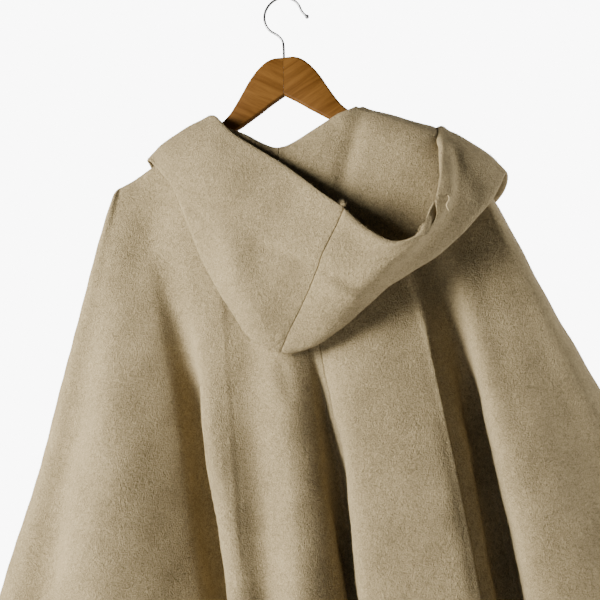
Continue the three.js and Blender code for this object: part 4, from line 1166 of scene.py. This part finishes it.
Cut = namedtuple("Cut", "width length area seed fibres")   # flat size of a piece of cloth, in metres
CUTS = {
    "back_left": Cut(0.70, 0.88, 0.42, 11, (18000, 0)),
    "back_right": Cut(0.62, 0.90, 0.36, 12, (18000, 0)),
    "front_left": Cut(0.56, 0.88, 0.33, 13, (10000, 1500)),
    "front_right": Cut(0.62, 0.90, 0.37, 14, (10000, 1500)),
    "hood_left": Cut(0.40, 0.40, 0.11, 15, (11000, 9000)),
    "hood_right": Cut(0.45, 0.40, 0.13, 16, (11000, 9000)),
}
surfaces = {}


def finish_cloth(context, name, creases, seam_axis):
    if not surfaces:
        surfaces.update(build_surfaces())
    panel = finished_panel(surfaces[name], creases, seam_axis)
    outer = inner = half_walls(panel)
    if name.startswith("hood"):
        from_edge = edge_distance(panel.points, 1, True)
        band = 1 - soft_step(from_edge, TURNED_WIDTH - TURNED_STEP, TURNED_WIDTH + TURNED_STEP)
        rolled = edge_round(panel.points, WALL)
        rim = RIM_THICK[name] * np.exp(-((from_edge - RIM_PLACE) / RIM_WIDTH) ** 2)
        rim = rim * (edge_round(panel.points, RIM_ROUND) - 0.25)
        inner = inner + TURNED_THICK * band * rolled + rim
        outer = outer + TURNED_PRESS * band * rolled + rim
    cloth = cloth_object("cloth_" + name, panel.points, panel.normals, outer, inner)
    cloth.data.materials.append(bpy.data.materials["Felted wool"])
    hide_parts(name)
    cut = CUTS[name]
    length = context.scene.cape_cloth.nap_length
    nap = nap_object("nap_" + name, panel, outer, inner, cut.fibres, length, cut.seed)
    nap.data.materials.append(bpy.data.materials["Wool fibres"])
    loose = [nap, *loose_ends(name)]


LOOSE_YARN = ((-0.1995, 0.0880, -0.2720), (-0.2015, 0.0935, -0.2780), (-0.1985, 0.0950, -0.2840),
              (-0.2005, 0.0940, -0.2900))
YARN_RADIUS = 0.0009
EDGE_TUFT = (-0.0850, 0.0880, -0.2750)
TUFT_WAY, TUFT_SEED = (0.2, 0.3, 1), 17


def loose_ends(name):
    """The loose yarn and the tuft on the hood's edge, which belong to its right half."""
    if name != "hood_right":
        return []
    made = [thread_object("loose_yarn", LOOSE_YARN, YARN_RADIUS),
            tuft_object("edge_tuft", EDGE_TUFT, TUFT_WAY, TUFT_SEED)]
    for piece in made:
        piece.data.materials.append(bpy.data.materials["Wool fibres"])
    return made


class CapeOperator:
    """What the operators share"""
    bl_options = {"REGISTER", "UNDO"}


class CAPE_OT_finishes(CapeOperator, bpy.types.Operator):
    """Makes the shared effects and the materials"""
    bl_idname = "cape.finishes"
    bl_label = "Finishes"

    def execute(self, context):
        colours = context.scene.cape_colours
        felted_nap_group()
        wood_grain_group()
        wool = (tuple(colours.wool_dark_and_nap_shade), tuple(colours.wool_light))
        wood = (tuple(colours.wood_dark), tuple(colours.wood_light))
        wool_material("Felted wool", wool, context.scene.cape_cloth.nap_relief)
        wool_material("Wool fibres", (wool[1], wool[1]), 0.0)
        lean = math.atan(ARM_SLOPE)
        wood_material("Wood, left arm", wood, lean)
        wood_material("Wood, right arm", wood, -lean)
        steel_material("Drawn steel", tuple(colours.steel))
        return {"FINISHED"}


class CAPE_OT_hanger(CapeOperator, bpy.types.Operator):
    """Makes the two wooden arms of the hanger"""
    bl_idname = "cape.hanger"
    bl_label = "Hanger"

    def execute(self, context):
        for side, sign in (("left", 1), ("right", -1)):
            arm = arm_object("wood_" + side, sign)
            arm.data.materials.append(bpy.data.materials[f"Wood, {side} arm"])
            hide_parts("hanger_arm_" + side)
        return {"FINISHED"}


class CAPE_OT_hook(CapeOperator, bpy.types.Operator):
    """Makes the steel hook"""
    bl_idname = "cape.hook"
    bl_label = "Hook"

    def execute(self, context):
        hook = hook_object("steel_hook")
        hook.data.materials.append(bpy.data.materials["Drawn steel"])
        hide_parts("hanger_hook")
        return {"FINISHED"}


class CAPE_OT_back(CapeOperator, bpy.types.Operator):
    """Makes the two halves of the back"""
    bl_idname = "cape.back"
    bl_label = "Back"

    def execute(self, context):
        for name in ("back_left", "back_right"):
            finish_cloth(context, name, BACK_CREASES, 1)
        return {"FINISHED"}


class CAPE_OT_front(CapeOperator, bpy.types.Operator):
    """Makes the two fronts"""
    bl_idname = "cape.front"
    bl_label = "Fronts"

    def execute(self, context):
        for name in ("front_left", "front_right"):
            finish_cloth(context, name, FRONT_CREASES, None)
        return {"FINISHED"}


class CAPE_OT_hood(CapeOperator, bpy.types.Operator):
    """Makes the two halves of the hood"""
    bl_idname = "cape.hood"
    bl_label = "Hood"

    def execute(self, context):
        for name in ("hood_left", "hood_right"):
            finish_cloth(context, name, HOOD_CREASES, 0)
        return {"FINISHED"}


LIGHT_AIM = Vector((0.06, 0.06, -0.42))
LIGHT_DISTANCE = 2.2
# The way to each light, in shares of the view's right, up and towards the camera, its width and height,
# and its colour.
Light = namedtuple("Light", "way size colour")
LIGHTS = {
    "key": Light((-0.92, 0.12, 0.30), (1.3, 0.9), (1.0, 0.985, 0.96)),
    "rim": Light((0.97, 0.22, 0.05), (0.5, 0.6), (1.0, 1.0, 1.0)),
    "front": Light((0.35, 0.25, -0.9), (1.3, 0.9), (1.0, 1.0, 1.0)),
}
SEEN_SURROUND = 9.0    # the surround as the camera sees it, bright enough to be almost plain white
CAMERA_YAW, CAMERA_RISE, CAMERA_ROLL = math.radians(194), math.radians(-7), math.radians(1.5)
CAMERA_AIM = Vector((-0.00055, -0.04565, -0.35885))   # the point at the middle of the view


class CAPE_OT_stage(CapeOperator, bpy.types.Operator):
    """Makes the camera, the lights, the white surround and the floor"""
    bl_idname = "cape.stage"
    bl_label = "Stage"

    def execute(self, context):
        stage = context.scene.cape_stage
        away = Vector((math.sin(CAMERA_YAW) * math.cos(CAMERA_RISE),
                       -math.cos(CAMERA_YAW) * math.cos(CAMERA_RISE), math.sin(CAMERA_RISE)))
        camera = linked_object("camera", bpy.data.cameras.new("camera"))
        camera.data.lens = stage.lens
        camera.data.sensor_width = 36.0
        turn = (-away).to_track_quat("-Z", "Y").to_matrix() @ Matrix.Rotation(-CAMERA_ROLL, 3, "Z")
        camera.matrix_world = Matrix.Translation(CAMERA_AIM + away * stage.distance) @ turn.to_4x4()
        context.scene.camera = camera
        right, up = turn @ Vector((1, 0, 0)), turn @ Vector((0, 1, 0))
        for name, light in LIGHTS.items():
            way = light.way[0] * right + light.way[1] * up + light.way[2] * away
            add_light(name, light, LIGHT_DISTANCE * way.normalized(), getattr(stage, name + "_power"))
        white_surround(context.scene, stage.surround)
        floor_disc(stage.floor_z, tuple(context.scene.cape_colours.floor))
        return {"FINISHED"}


def add_light(name, light, offset, power):
    """An area light at an offset from the lights' aim, which it faces."""
    data = bpy.data.lights.new(name, "AREA")
    data.shape = "RECTANGLE"
    data.size, data.size_y = light.size
    data.energy = power
    data.color = light.colour
    turn = (-offset).to_track_quat("-Z", "Y").to_matrix().to_4x4()
    linked_object(name, data).matrix_world = Matrix.Translation(LIGHT_AIM + offset) @ turn


def white_surround(scene, strength):
    """A world that lights the scene softly and shows as almost plain white behind it."""
    world = bpy.data.worlds.new("white surround")
    world.use_nodes = True
    tree = world.node_tree
    background, seen = tree.nodes["Background"], tree.nodes.new("ShaderNodeBackground")
    for node, light in ((background, strength), (seen, SEEN_SURROUND)):
        node.inputs["Color"].default_value = (1, 1, 1, 1)
        node.inputs["Strength"].default_value = light
    either = tree.nodes.new("ShaderNodeMixShader")
    rays = tree.nodes.new("ShaderNodeLightPath")
    tree.links.new(rays.outputs["Is Camera Ray"], either.inputs[0])
    tree.links.new(background.outputs[0], either.inputs[1])
    tree.links.new(seen.outputs[0], either.inputs[2])
    tree.links.new(either.outputs[0], tree.nodes["World Output"].inputs["Surface"])
    scene.world = world


FLOOR_RINGS = (0.02, 1, 2, 3)   # their radii, in metres
FLOOR_CORNERS = 96


def floor_disc(height, colour):
    """A round floor: rings of faces round a small disc."""
    angle = np.linspace(0, 2 * math.pi, FLOOR_CORNERS, endpoint=False)
    rings = [np.stack([r * np.cos(angle), r * np.sin(angle), 0 * angle + height], -1) for r in FLOOR_RINGS]
    points = np.concatenate(rings)
    first = np.arange(len(FLOOR_RINGS) - 1)[:, None] * FLOOR_CORNERS
    a, b = first + np.arange(FLOOR_CORNERS), first + np.roll(np.arange(FLOOR_CORNERS), -1)
    faces = np.stack([a, a + FLOOR_CORNERS, b + FLOOR_CORNERS, b], -1).reshape(-1, 4)
    mesh = bpy.data.meshes.new("floor")
    mesh.from_pydata(points.tolist(), [], faces.tolist() + [list(range(FLOOR_CORNERS))])
    floor = linked_object("floor", mesh)
    tree, shader = new_material("Pale floor", {"Roughness": 0.8})
    shade = noise_node(tree, object_place(tree), 3.0, 2, 0.5)
    lighter = tuple(min(1, value * 1.04) for value in colour)
    tree.links.new(mixed(tree, shade, (*colour, 1), (*lighter, 1)), shader.inputs["Base Color"])
    mesh.materials.append(bpy.data.materials["Pale floor"])


OPERATORS = (CAPE_OT_finishes, CAPE_OT_hanger, CAPE_OT_hook, CAPE_OT_back, CAPE_OT_front, CAPE_OT_hood,
             CAPE_OT_stage)


class CAPE_PT_pieces(bpy.types.Panel):
    """Lists the pieces of the cape in the sidebar"""
    bl_idname = "CAPE_PT_pieces"
    bl_label = "Hooded cape cardigan"
    bl_space_type = "VIEW_3D"
    bl_region_type = "UI"
    bl_category = "Cape"

    def draw(self, context):
        for settings in ("cape_colours", "cape_cloth", "cape_stage"):
            group = getattr(context.scene, settings)
            for key in group.__annotations__:
                self.layout.prop(group, key)
        for operator in OPERATORS:
            self.layout.operator(operator.bl_idname)


SETTINGS = {"cape_colours": CapeColours, "cape_cloth": CapeCloth, "cape_stage": CapeStage}
CLASSES = (*SETTINGS.values(), *OPERATORS, CAPE_PT_pieces)


def register():
    for made in CLASSES:
        bpy.utils.register_class(made)
    for name, group in SETTINGS.items():
        setattr(bpy.types.Scene, name, bpy.props.PointerProperty(type=group))


def unregister():
    for name in SETTINGS:
        delattr(bpy.types.Scene, name)
    for made in reversed(CLASSES):
        bpy.utils.unregister_class(made)


def main():
    register()
    for operator in OPERATORS:
        group, name = operator.bl_idname.split(".")
        getattr(getattr(bpy.ops, group), name)()


if __name__ == "__main__":
    main()
